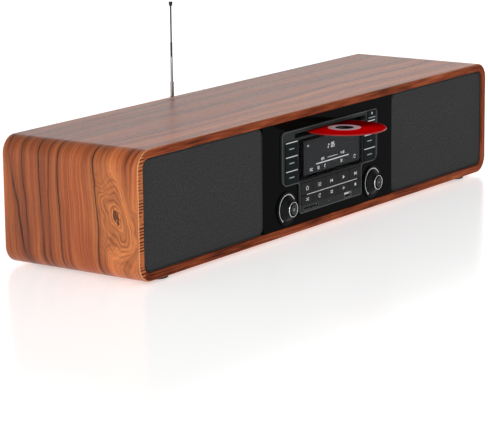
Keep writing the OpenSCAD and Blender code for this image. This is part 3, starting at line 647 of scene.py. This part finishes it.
class Marks:
    """Flat raised marks on a plane that faces the front, in millimetres. Shapes are drawn about
    the mark's own centre, and each becomes a closed prism."""

    def __init__(self, centre=(0, 0), scale=1.0):
        self.centre = centre
        self.scale = scale
        self.outlines = []

    def put(self, points):
        cx, cz = self.centre
        return [(cx + x * self.scale, cz + z * self.scale) for x, z in points]

    def fill(self, points):
        self.outlines.append((self.put(points), None))

    def bar(self, x, z, w, h):
        w, h = w / 2, h / 2
        self.fill([(x - w, z - h), (x + w, z - h), (x + w, z + h), (x - w, z + h)])

    def disc(self, x, z, r, steps=16):
        self.fill(arc(x, z, r, 0, 360 - 360 / steps, steps - 1))

    def stroke(self, points, width, closed=False, end_width=None):
        """A line of constant width, or one that tapers to end_width."""
        line = [Vector(p) for p in self.put(points)]
        count = len(line)
        left, right = [], []
        for i, here in enumerate(line):
            before = line[i - 1] if i or closed else here
            after = line[(i + 1) % count] if i < count - 1 or closed else here
            a = (here - before).normalized() if here != before else None
            b = (after - here).normalized() if after != here else None
            a, b = a or b, b or a
            way = (a + b).normalized()
            side = Vector((-way.y, way.x))
            wide = width + ((end_width or width) - width) * i / max(1, count - 1)
            half = wide * self.scale / 2 / max(0.5, way.dot(a))
            left.append(tuple(here + side * half))
            right.append(tuple(here - side * half))
        self.outlines.append(((left, right), closed))

    def ring(self, x, z, r, width, steps=20):
        self.stroke(arc(x, z, r, 0, 360 - 360 / steps, steps - 1), width, closed=True)

    def mesh(self, name, front, back):
        points, faces = [], []
        for shape, closed in self.outlines:
            base = len(points)
            if closed is None:
                n = len(shape)
                points += [(x, front, z) for x, z in shape] + [(x, back, z) for x, z in shape]
                faces += [list(range(base, base + n)), list(range(base + 2 * n - 1, base + n - 1, -1))]
                for i in range(n):
                    a, b = base + i, base + (i + 1) % n
                    faces.append([a, b, b + n, a + n])
                continue
            left, right = shape
            n = len(left)
            for (lx, lz), (rx, rz) in zip(left, right):
                points += [(lx, front, lz), (rx, front, rz), (rx, back, rz), (lx, back, lz)]
            for i in range(n if closed else n - 1):
                a, b = base + 4 * i, base + 4 * ((i + 1) % n)
                faces += [[a + k, a + (k + 1) % 4, b + (k + 1) % 4, b + k] for k in range(4)]
            if not closed:
                end = base + 4 * (n - 1)
                faces += [[base, base + 1, base + 2, base + 3], [end + 3, end + 2, end + 1, end]]
        return finished_mesh(name, points, faces, smooth=False)


INK = 0.06  # how far a printed mark stands out of its surface


def add_marks(name, marks, surface_y, material, body, slot, proud=INK):
    """Marks on a surface that faces the front at surface_y, sunk into it a little."""
    mesh = marks.mesh(name, surface_y - proud, surface_y + 0.1)
    return add_piece(name, mesh, [material], body)


def add_line(name, centre, points, width, *rest, closed=False):
    """One line as a mark. rest is what add_marks takes after the marks."""
    marks = Marks(centre)
    marks.stroke(points, width, closed)
    add_marks(name, marks, *rest)


def add_sign(name, centre, size, sign, *rest):
    marks = Marks(centre, size)
    sign(marks)
    add_marks(name, marks, *rest)


def add_turned(name, profile, centre, axis, steps, material, body):
    return add_piece(name, lathe(name, profile, centre, axis, steps), [material], body)


# ----- cabinet

CORNER = 16  # outer radius of the four long corners
WALL = 7.5
LIP_ROUND = 1.3  # rounding of the wall's outer edges
INNER_ROUND = 0.7
SHELL_LOW, SHELL_HIGH = box("cabinet_shell")


def wrap_loop(depth, arc_steps=16, straight_steps=8):
    """Points (x, z) round the case, depth inside its outer face, from the middle of the bottom
    to the left, up, along the top and back. Also the distance along the outer face to each."""
    quarter = CORNER * math.pi / 2
    half = SHELL_HIGH.x - CORNER
    wide, tall = 2 * half, SHELL_HIGH.z - SHELL_LOW.z - 2 * CORNER
    r = CORNER - depth
    x, z = 0.0, SHELL_LOW.z + depth
    dx, dz = -1, 0
    points, along, travelled = [], [], 0.0
    for angle, run in ((270, half), (180, tall), (90, wide), (0, tall), (None, half)):
        for k in range(straight_steps):
            t = run * k / straight_steps
            points.append((x + dx * t, z + dz * t))
            along.append(travelled + t)
        travelled += run
        if angle is None:
            return points, along, travelled
        x, z = x + dx * run + dz * r, z + dz * run - dx * r
        points += arc(x, z, r, angle, angle - 90, arc_steps)[:-1]
        along += [travelled + quarter * k / arc_steps for k in range(arc_steps)]
        travelled += quarter
        x, z = x + dx * r, z + dz * r
        dx, dz = dz, -dx


def wall_section(steps):
    """Section through the wall: (depth in from the outer face, y)."""
    front, back = SHELL_LOW.y, SHELL_HIGH.y
    big, small = LIP_ROUND, INNER_ROUND
    section = [(big - r, y) for y, r in arc(front + big, 0, big, 90, 180, steps)]
    section += [(WALL - small + r, y) for y, r in arc(front + small, 0, small, 180, 90, steps)]
    section += [(WALL - small + r, y) for y, r in arc(back - small, 0, small, 90, 0, steps)]
    return section + [(big - r, y) for y, r in arc(back - big, 0, big, 0, 90, steps)]


def build_cabinet(steps=5):
    section = wall_section(steps)
    # strips of the section that show the edging, from halfway round the front edge to the inner wall
    lip = range(steps // 2, 2 * steps + 2)
    # place of each point of the section on the veneer
    depths = [section[0][1]]
    for (d0, y0), (d1, y1) in zip(section, section[1:]):
        depths.append(depths[-1] - math.hypot(d1 - d0, y1 - y0))
    rings = [wrap_loop(d) for d, _ in section]
    count, size = len(rings[0][0]), len(section)
    points = []
    for i in range(count):
        for (loop, _, _), (_, y) in zip(rings, section):
            points.append((loop[i][0], y, loop[i][1]))
    along = rings[0][1] + [rings[0][2]]
    faces, uvs, looks = [], [], []
    for i in range(count):
        for k in range(size):
            looks.append(1 if k in lip else 0)
            j, m = (i + 1) % count, (k + 1) % size
            faces.append([i * size + k, j * size + k, j * size + m, i * size + m])
            v0, v1 = (depths[k], depths[m]) if m else (section[k][1], depths[0])
            uvs += [(along[i], v0), (along[i + 1], v0), (along[i + 1], v1), (along[i], v1)]
    mesh = bpy.data.meshes.new("walnut_cabinet")
    mesh.from_pydata(points, [], faces)
    layer = mesh.uv_layers.new(name="veneer")
    for loop, (u, v) in zip(layer.data, uvs):
        loop.uv = (u * MM, v * MM)
    turn_outwards(mesh)
    mesh.polygons.foreach_set("material_index", looks)
    veneer = [MATERIALS["walnut"], MATERIALS["lip_wood"]]
    piece = add_piece("walnut_cabinet", mesh, veneer, "cabinet")
    even_normals(piece)
    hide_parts("cabinet_shell")


# ----- grilles

CLOTH_CORNER = 8.5
CLOTH_ROUND = 1.6
CLOTH_THICK = 0.5
CROWN = 0.35  # how far the middle of the cloth swells


def rounded_outline(half_x, half_z, radius, steps=6):
    points = []
    for start, sx, sz in ((0, 1, 1), (90, -1, 1), (180, -1, -1), (270, 1, -1)):
        centre = sx * (half_x - radius), sz * (half_z - radius)
        points += arc(*centre, radius, start, start + 90, steps)
    return points


def keep_inside(x, z, half_x, half_z, radius):
    """Moves a point that lies outside a rounded outline on to it."""
    x, z = max(-half_x, min(half_x, x)), max(-half_z, min(half_z, z))
    cx, cz = abs(x) - (half_x - radius), abs(z) - (half_z - radius)
    if cx > 0 and cz > 0 and math.hypot(cx, cz) > radius:
        pull = radius / math.hypot(cx, cz)
        x = math.copysign(half_x - radius + cx * pull, x)
        z = math.copysign(half_z - radius + cz * pull, z)
    return x, z


def cloth_mesh(name, low, high, columns=60, rows=34, turn_steps=5):
    """The cloth's outer side: a face that swells a little, with its edges wrapped to the back."""
    middle, half = (low + high) / 2, (high - low) / 2
    front = low.y + CROWN

    def grid_point(i, k, inset):
        x, z = (2 * i / columns - 1) * half.x, (2 * k / rows - 1) * half.z
        return keep_inside(x, z, half.x - inset, half.z - inset, max(0.5, CLOTH_CORNER - inset))

    keys = [(i, k) for i in range(columns + 1) for k in range(rows + 1)]
    at = {key: n for n, key in enumerate(keys)}
    points = []
    for i, k in keys:
        x, z = grid_point(i, k, CLOTH_ROUND)
        swell = CROWN * (1 - (x / half.x) ** 4) * (1 - (z / half.z) ** 4)
        points.append((middle.x + x, front - swell, middle.z + z))
    faces = [[at[i, k], at[i + 1, k], at[i + 1, k + 1], at[i, k + 1]]
             for i in range(columns) for k in range(rows)]
    rim = ([(i, 0) for i in range(columns)] + [(columns, k) for k in range(rows)]
           + [(i, rows) for i in range(columns, 0, -1)] + [(0, k) for k in range(rows, 0, -1)])
    turns = [math.radians(90 * t / turn_steps) for t in range(1, turn_steps + 1)]
    wrap = [(CLOTH_ROUND * (1 - math.sin(a)), CLOTH_ROUND * (1 - math.cos(a))) for a in turns]
    previous = [at[key] for key in rim]
    for inset, back in wrap + [(0.0, high.y - front - 0.1)]:
        ring = list(range(len(points), len(points) + len(rim)))
        for i, k in rim:
            x, z = grid_point(i, k, inset)
            points.append((middle.x + x, front + back, middle.z + z))
        for a in range(len(rim)):
            b = (a + 1) % len(rim)
            faces.append([previous[a], previous[b], ring[b], ring[a]])
        previous = ring
    mesh = bpy.data.meshes.new(name)
    mesh.from_pydata(points, [], faces)
    mesh.shade_smooth()
    return mesh


def build_grille(side):
    node = side + "_grille_cloth"
    low, high = box(node)
    name = side + "_grille_fabric"
    mesh = cloth_mesh(name, low, high)
    piece = add_piece(name, mesh, [MATERIALS["grille_cloth"]], "cabinet")
    thick = piece.modifiers.new("thickness", "SOLIDIFY")
    thick.thickness = CLOTH_THICK * MM
    thick.offset = -1
    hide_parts(node)


# ----- bezel, keys and display

BEZEL_LOW, BEZEL_HIGH = box("control_bezel")
BEZEL_FRONT = BEZEL_LOW.y
HEAD_BOTTOM = 49.4  # lower edge of the wide head
BLOCK_HALF = 54.5  # half width of the block below it
HEAD_R, CHEEK_R, NOTCH_R, BASE_R = 5, 8, 4, 3  # corners: top, lower head, notch, foot of the block
LAMP_AT = (-3.3, 23.6)
CARD_MOUTH_HALF = 1.65  # half height of the card slot's frame line


def bezel_line(inset, steps=8):
    """The bezel's outline, moved in by inset."""
    hw, bw = BEZEL_HIGH.x - inset, BLOCK_HALF - inset
    top, low, base = BEZEL_HIGH.z - inset, HEAD_BOTTOM + inset, BEZEL_LOW.z + inset
    head, big, notch, small = HEAD_R - inset, CHEEK_R - inset, NOTCH_R + inset, BASE_R - inset
    right = (arc(bw - small, base + small, small, 270, 360, steps)
             + arc(bw + notch, low - notch, notch, 180, 90, steps)
             + arc(hw - big, low + big, big, 270, 360, steps)
             + arc(hw - head, top - head, head, 0, 90, steps))
    return right + [(-x, z) for x, z in reversed(right)]


def build_bezel_highlight_and_row_line():
    # a grey line round the bezel's edge: painted highlight of its chamfer catching the light
    add_line("bezel_edge_highlight", (0, 0), bezel_line(0.75), 0.5, BEZEL_FRONT, GREY_PRINT_AND_HIGHLIGHT,
             "cabinet", "bezel_black", closed=True)
    between_rows = (0, (box("lower_key_1")[1].z + box("upper_key_1")[0].z) / 2)
    add_line("key_row_line", between_rows, [(-42, -0.15), (46, 0.15)], 0.75, BEZEL_FRONT, WHITE_MARK,
             "cabinet", "bezel_black")


def house(m):
    m.stroke([(-1.1, 0), (0, 0.95), (1.1, 0)], 0.3)
    m.stroke([(-0.75, 0.1), (-0.75, -0.9), (0.75, -0.9), (0.75, 0.1)], 0.28)


def list_lines(m):
    for z in (0.7, 0, -0.7):
        m.bar(0.35, z, 1.9, 0.26)
        m.bar(-1.15, z, 0.35, 0.3)


def play(m):
    m.fill([(-0.7, -0.9), (0.95, 0), (-0.7, 0.9)])


def previous_track(m):
    m.bar(-1.1, 0, 0.3, 1.7)
    m.fill([(0.9, -0.85), (0.9, 0.85), (-0.8, 0)])


def next_track(m):
    m.bar(1.1, 0, 0.3, 1.7)
    m.fill([(-0.9, -0.85), (0.8, 0), (-0.9, 0.85)])


def stop(m):
    m.bar(0, 0, 1.5, 1.5)


def pause(m):
    m.bar(-0.5, 0, 0.5, 1.7)
    m.bar(0.5, 0, 0.5, 1.7)


def repeat(m):
    m.stroke(arc(0, 0, 0.95, 50, 330, 14), 0.3)
    m.fill([(0.2, 0.45), (1.15, 0.35), (0.75, 1.2)])


def shuffle(m):
    m.stroke([(-1.3, 0.6), (-0.6, 0.6), (0.5, -0.6), (1.0, -0.6)], 0.3)
    m.stroke([(-1.3, -0.6), (-0.6, -0.6), (0.5, 0.6), (1.0, 0.6)], 0.3)
    for z in (0.6, -0.6):
        m.fill([(0.9, z - 0.45), (1.6, z), (0.9, z + 0.45)])


def grid_of_four(m):
    for x in (-0.6, 0.6):
        for z in (-0.5, 0.5):
            m.bar(x, z, 0.8, 0.65)


def wave(m):
    for i, tall in enumerate((0.7, 1.3, 1.8, 1.1, 0.6)):
        m.bar(0.5 * (i - 2), 0, 0.24, tall)


def disc_sign(m):
    m.ring(0, 0, 0.85, 0.3)
    m.disc(0, 0, 0.3, 10)


def note(m):
    m.disc(-0.5, -0.75, 0.4, 12)
    m.stroke([(-0.18, -0.7), (-0.18, 0.9)], 0.22)
    m.stroke([(-0.25, 0.9), (0.7, 0.45)], 0.4)


def moon(m):
    m.stroke(arc(0, 0, 0.8, 70, 290, 12), 0.5, end_width=0.2)


def power(m):
    m.stroke(arc(0, 0, 1.0, 120, 420, 18), 0.3)
    m.stroke([(0, 0.35), (0, 1.25)], 0.3)


def cross_lines(m):
    m.bar(0, 0, 1.9, 0.3)
    m.bar(0, 0, 0.3, 1.9)


def eject_sign(m):
    m.fill([(-1.1, -0.1), (1.1, -0.1), (0, 1.25)])
    m.bar(0, -0.75, 2.2, 0.42)


# Each row's signs, from the left, and their size
ROW_SIGNS = {"upper": (2.0, [house, list_lines, previous_track, play, next_track]),
             "lower": (1.7, [shuffle, repeat, grid_of_four, wave, stop])}


def build_key_marks():
    for row, (size, signs) in ROW_SIGNS.items():
        for i, sign in enumerate(signs, 1):
            node = f"{row}_key_{i}"
            x, z, _, _, face = face_of(node)
            add_sign(node + "_sign", (x, z), size, sign, face, WHITE_MARK, node, "key_black")
    for side in ("left", "right"):
        for place in ("top", "middle", "bottom"):
            node = f"{side}_key_{place}"
            x, z, w, h, face = face_of(node)
            line = [(-w / 2 + 0.8, h / 2 - 0.9), (w / 2 - 0.5, h / 2 - 0.9)]
            add_line(node + "_line", (x, z), line, 0.8, face, WHITE_MARK, node, "key_black")
            dash = [(-4, 0), (4, 0)]
            add_line(node + "_dash", (x, z - 0.4), dash, 0.85, face, DIM_MARK, node, "key_black")
    node = "eject_key"
    x, z, w, h, face = face_of(node)
    add_sign(node + "_sign", (x, z + 1.2), 1.15, eject_sign, face, WHITE_MARK, node, "key_black")
    line = [(-w / 2 + 1, -h / 2 + 0.8), (w / 2 - 1, -h / 2 + 0.8)]
    add_line(node + "_line", (x, z), line, 0.6, face, DIM_MARK, node, "key_black")


SEGMENTS = {"0": "abcdef", "1": "bc", "2": "abged", "4": "fgbc", "5": "afgcd"}


def digits(marks, text, x, z, h, width):
    """Draws digits in the seven-bar form, with a colon where the text has one."""
    w = m = h / 2
    ends = {"a": ((0, h), (w, h)), "b": ((w, h), (w, m)), "c": ((w, m), (w, 0)), "d": ((0, 0), (w, 0)),
            "e": ((0, 0), (0, m)), "f": ((0, m), (0, h)), "g": ((0, m), (w, m))}
    for letter in text:
        if letter == ":":
            for up in (0.3, 0.7):
                marks.bar(x + width * 0.4, z + h * up, width, width)
            x += w * 0.6
            continue
        for bar in SEGMENTS[letter]:
            (x0, z0), (x1, z1) = ends[bar]
            marks.stroke([(x + x0, z + z0), (x + x1, z + z1)], width)
        x += w + h * 0.28


LENS_MARGIN = 0.6  # from the lens's edge to its printed border


def build_display():
    """The lit marks on the display's glass, and the lens's black border round the lit area."""
    low, high = box("display_module")
    middle = (low + high) / 2 + Vector((VIEW_SHIFT, 0, 0))

    def at(u, v):
        """A point by its share of the lit area's width and height."""
        return middle.x + VIEW_HALF_X * (2 * u - 1), middle.z + VIEW_HALF_Z * (2 * v - 1)

    def show(name, marks):
        add_marks("display_" + name, marks, low.y, LIT_MARK, "cabinet", "display")

    def show_sign(name, sign, u, v, size=1.7):
        add_sign(f"display_{name}_sign", at(u, v), size, sign, low.y, LIT_MARK, "cabinet", "display")

    lens_low, lens_high = box("display_lens")
    x0, x3 = lens_low.x + LENS_MARGIN, lens_high.x - LENS_MARGIN
    z0, z3 = lens_low.z + LENS_MARGIN, lens_high.z - LENS_MARGIN
    (x1, z1), (x2, z2) = at(0, 0), at(1, 1)
    border = Marks()
    for a, b, c, d in ((x0, x1, z0, z3), (x2, x3, z0, z3), (x1, x2, z0, z1), (x1, x2, z2, z3)):
        border.bar((a + b) / 2, (c + d) / 2, b - a, d - c)
    add_marks("display_lens_border", border, lens_high.y, MATERIALS["display"], "cabinet", "display")
    show_sign("source", wave, 0.08, 0.84, 1.25)
    title = Marks(at(0.5, 0.62))
    digits(title, "05", -1.2, 0, 4.2, 0.75)
    show("track_number", title)
    show_sign("note", note, 0.44, 0.68, 2.0)
    times = Marks()
    digits(times, "1:24", *at(0.30, 0.31), 2.4, 0.5)
    digits(times, "4:10", *at(0.66, 0.33), 2.4, 0.5)
    times.stroke([at(0.42, 0.345), at(0.60, 0.35)], 0.45)
    show("times", times)
    bar = [at(0.22, 0.245), at(0.80, 0.25)]
    add_line("display_progress", (0, 0), bar, 0.95, low.y, LIT_MARK, "cabinet", "display")
    show_sign("shuffle", shuffle, 0.13, 0.12)
    show_sign("disc", disc_sign, 0.26, 0.12)
    show_sign("moon", moon, 0.38, 0.12)
    show_sign("pause", pause, 0.67, 0.13)
    show_sign("repeat", repeat, 0.91, 0.145)


def build_sockets():
    """Rim of the USB shell's mouth, the card slot's frame and the lamp between them."""
    x, z, w, h, face = face_of("usb_socket")
    rim = rounded_outline(w / 2 - 0.32, h / 2 - 0.32, 0.5, 4)
    add_line("usb_mouth_rim", (x, z), rim, 0.5, face, MATERIALS["socket_rim"], "cabinet", "steel", 0.2,
             closed=True)
    x, z, w, _, _ = face_of("card_socket")
    mouth = rounded_outline(w / 2 - 0.4, CARD_MOUTH_HALF, 0.6, 4)
    add_line("card_slot_frame", (x, z), mouth, 0.3, BEZEL_FRONT, GREY_PRINT_AND_HIGHLIGHT, "cabinet", "bezel_black",
             closed=True)
    profile = [(0, -0.35), (0.45, -0.28), (0.8, -0.05), (0.95, 0.3), (0.95, 3.5), (0, 3.5)]
    centre = (LAMP_AT[0], BEZEL_FRONT + 0.2, LAMP_AT[1])
    add_turned("status_lamp", profile, centre, (0, 1, 0), 24, LAMP, "cabinet")


# ----- knobs

FLUTES = 40
NOSE_R = 7.1  # radius of a knob's nose, inside its bright ring
CAP_R = 5.2
DISH = 0.12  # depth of the cap's hollow face
SHAFT_BORE = 3.2
PIN_R = 1.4  # of the cap's pin
SCALE_R = 13.3
SCALE_START, SCALE_END = 232, 32  # degrees, from the dot at the lower left to the upper right


def build_knob(knob):
    """Fluted cone with a bright ring round its nose."""
    x, z, across, _, front = face_of(knob)
    tall = box(knob)[1].y - front
    outer = across / 2
    nose, wall = NOSE_R, NOSE_R - 1.3
    profile = [(wall, 4), (wall, 1.0), (nose - 0.2, 1.0), (nose + 0.15, 1.35), (nose + 0.3, 2.0)]
    for t in (0.25, 0.5, 0.75, 0.92):
        profile.append((nose + 0.3 + (outer - 0.5 - nose) * t, 2.0 + (tall - 2.9) * t))
    profile += [(outer - 0.25, tall - 0.75), (outer, tall - 0.45), (outer - 0.15, tall),
                (SHAFT_BORE, tall), (SHAFT_BORE, 4)]
    slope = range(5, 8)
    mesh = lathe(knob + "_body", profile, (x, front, z), (0, 1, 0), FLUTES * 6, flutes=FLUTES,
                 depth=0.22, fluted=slope)
    body = add_piece(knob + "_body", mesh, [MATERIALS["knob_black"]], knob)
    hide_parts(knob)
    profile = [(6.5, 1.3), (6.5, 0.35), (6.6, 0.08), (6.8, 0.0), (7.0, 0.12), (7.1, 0.45), (7.15, 1.3)]
    add_turned(knob + "_nose_ring", profile, (x, front, z), (0, 1, 0), 64, MATERIALS["chrome"],
               knob)


def build_cap(button, sign):
    """Push cap in a knob's nose, with a sign in a circle."""
    x, z, _, _, front = face_of(button)
    tall = box(button)[1].y - front
    profile = [(0, DISH), (2.6, DISH / 2), (4.2, 0.0), (4.8, 0.12), (CAP_R - 0.05, 0.4), (CAP_R, 0.8),
               (CAP_R, 2.6), (PIN_R, 2.6), (PIN_R, tall), (0, tall)]
    cap = add_turned(button + "_cap", profile, (x, front, z), (0, 1, 0), 48, MATERIALS["knob_black"],
                     button)
    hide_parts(button)
    face, proud = front + DISH, DISH + 0.02
    add_sign(button + "_sign", (x, z), 1.3, sign, face, DIM_MARK, button, "knob_black", proud)
    circle = Marks((x, z))
    circle.ring(0, 0, 3.6, 0.3, 32)
    add_marks(button + "_circle", circle, face, GREY_PRINT_AND_HIGHLIGHT, button, "knob_black", proud)


def build_knob_scales():
    """A line round each knob that widens from a dot at its lower left end."""
    _, z, _, _, face = face_of("knob_scale_rings")
    line = arc(0, 0, SCALE_R, SCALE_START, SCALE_END, 40)
    for side, knob in (("left", "volume_knob"), ("right", "tuning_knob")):
        marks = Marks((face_of(knob)[0], z))
        marks.stroke(line, 0.5, end_width=0.85)
        marks.disc(*line[0], 0.9)
        add_marks(side + "_knob_scale_line", marks, face, WHITE_MARK, "cabinet", "ring_black")


# ----- disc

HOLE_R = 7.5
LABEL_R = 15.6  # outer radius of the pale ring round the hub
HUB_R = 8.8


def build_disc():
    low, high = box("compact_disc")
    middle = (low + high) / 2
    r = (high.x - low.x) / 2
    t = high.z - low.z
    # closed section, from the hole's lower edge round to its upper edge, by what each stretch is
    lower = [(HOLE_R, 0.15, "hub"), (HOLE_R + 0.15, 0, "hub"), (16.5, 0, "rim"), (17.2, 0.12, "rim"),
             (18, 0, "rim")]
    rim = [(r - 0.3, 0, "rim"), (r, 0.3, "rim"), (r, t - 0.3, "rim"), (r - 0.3, t, "rim")]
    upper = [(r - 0.8, t, "red"), (r - 0.9, t - 0.03, "red"), (LABEL_R + 0.1, t - 0.03, "label"),
             (LABEL_R, t, "label"), (HUB_R, t, "hub"), (HUB_R - 0.1, t - 0.05, "hub"),
             (HOLE_R + 0.15, t - 0.05, "hub"), (HOLE_R, t - 0.2, "hub")]
    section = lower + rim + upper
    kinds = ["red", "label", "rim", "hub"]
    looks = [MATERIALS["disc_" + kind] for kind in kinds]
    tints = [kinds.index(kind) for _, _, kind in section]
    profile = [(a, b) for a, b, _ in section]
    mesh = lathe("red_disc", profile, (middle.x, middle.y, low.z), (0, 0, 1), 144, tints=tints)
    disc = add_piece("red_disc", mesh, looks, "compact_disc")
    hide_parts("compact_disc")


# ----- feet and rear screws

FOOT_R = 11.5
SCREW_X = (40, 160, 282)  # of the rear panel's screws, from the middle
SCREW_Z = 44  # from the panel's middle height


def build_feet():
    low, high = box("rubber_feet")
    r, tall = FOOT_R, high.z - low.z
    profile = [(0, 0.25), (r - 3.6, 0.25), (r - 3.2, 0), (r - 1.1, 0), (r - 0.6, 0.35),
               (r - 0.25, 1.0), (r, tall - 0.4), (r, tall), (0, tall)]
    for sx, side in ((-1, "left"), (1, "right")):
        for sy, end in ((-1, "front"), (1, "rear")):
            centre = (sx * (high.x - r), sy * (high.y - r), low.z)
            foot = add_turned(f"{side}_{end}_foot", profile, centre, (0, 0, 1), 48,
                              MATERIALS["rubber"], "cabinet")
            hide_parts("rubber_feet")


def build_rear_screws():
    """Black crosses on the heads of the rear panel's screws, painted shade where their cross recesses
    would lie.
    """
    face = box("case_screws")[1].y
    low, high = box("rear_panel")
    cross = Marks()
    for sx in (-1, 1):
        for x in SCREW_X:
            for sz in (-1, 1):
                cross.centre = (sx * x, (low.z + high.z) / 2 + sz * SCREW_Z)
                cross.bar(0, 0, 2.4, 0.55)
                cross.bar(0, 0, 0.55, 2.4)
    # flat black crosses: painted shade in place of real recesses
    mesh = cross.mesh("screw_cross_shade", face - 0.1, face + 0.02)
    add_piece("screw_cross_shade", mesh, [MATERIALS["gloss_black"]], "cabinet")


# ----- assembly

# Edge rounding of the CAD nodes whose edges show; keys have their own, and the rest a slight one
EDGES = {"control_bezel": 0.35, "gloss_panel": 0.15, "display_lens": 0.2, "knob_scale_rings": 0.3,
         "rear_panel": 0.3, "port_tubes": 0.6, "antenna_swivel": 0.5, "antenna_knuckle": 0.4,
         "power_switch": 0.4, "rear_sockets": 0.3, "case_screws": 0.3, "antenna_tube_4": 0.3}
KEY_EDGE = 0.45
OTHER_EDGE = 0.15


def finish_cad_nodes():
    """Gives each shown CAD node its material and softens its edges."""
    slots = {part["node"]: part["material_slot"] for part in frame["record"]["subparts"]}
    for name, node in frame["nodes"].items():
        look = MATERIALS[slots[name]]
        if name in ("antenna_tube_3", "antenna_tube_4"):
            look = MATERIALS["tube_dark"]
        elif name.startswith(("upper_key", "lower_key")):
            look = MATERIALS["key_grey"]
        node.data.materials.clear()
        node.data.materials.append(look)
        if node.hide_render:
            continue
        if "key_" in name and name != "key_board":
            soften(node, KEY_EDGE, 3)
        elif name in EDGES:
            soften(node, EDGES[name], 2)
        else:
            soften(node, OTHER_EDGE, 1)


def build_floor():
    corners = [(x * FLOOR_HALF, y * FLOOR_HALF, 0) for x, y in ((-1, -1), (1, -1), (1, 1), (-1, 1))]
    mesh = bpy.data.meshes.new("floor")
    mesh.from_pydata(corners, [], [[0, 1, 2, 3]])
    mesh.materials.append(floor_material())
    add_object("floor", mesh)


add_camera()
add_world()
add_light("left_softbox", (-2.6, -0.7, 1.1), (-0.3, 0, 0.06), (1.4, 1.4), 26, (1.0, 0.98, 0.95))
add_light("front_softbox", (0.2, -2.6, 1.3), (0, 0, 0.06), (2.4, 1.2), 5)
add_light("back_softbox", (2.6, 1.85, 0.85), (0, 0, 0.12), (2.6, 1.2), 3.2, (1.0, 0.98, 0.99))
build_floor()
build_cabinet()
build_grille("left")
build_grille("right")
build_bezel_highlight_and_row_line()
build_key_marks()
build_display()
build_sockets()
build_knob("volume_knob")
build_cap("power_button", power)
build_knob("tuning_knob")
build_cap("select_button", cross_lines)
build_knob_scales()
build_disc()
build_feet()
build_rear_screws()
finish_cad_nodes()
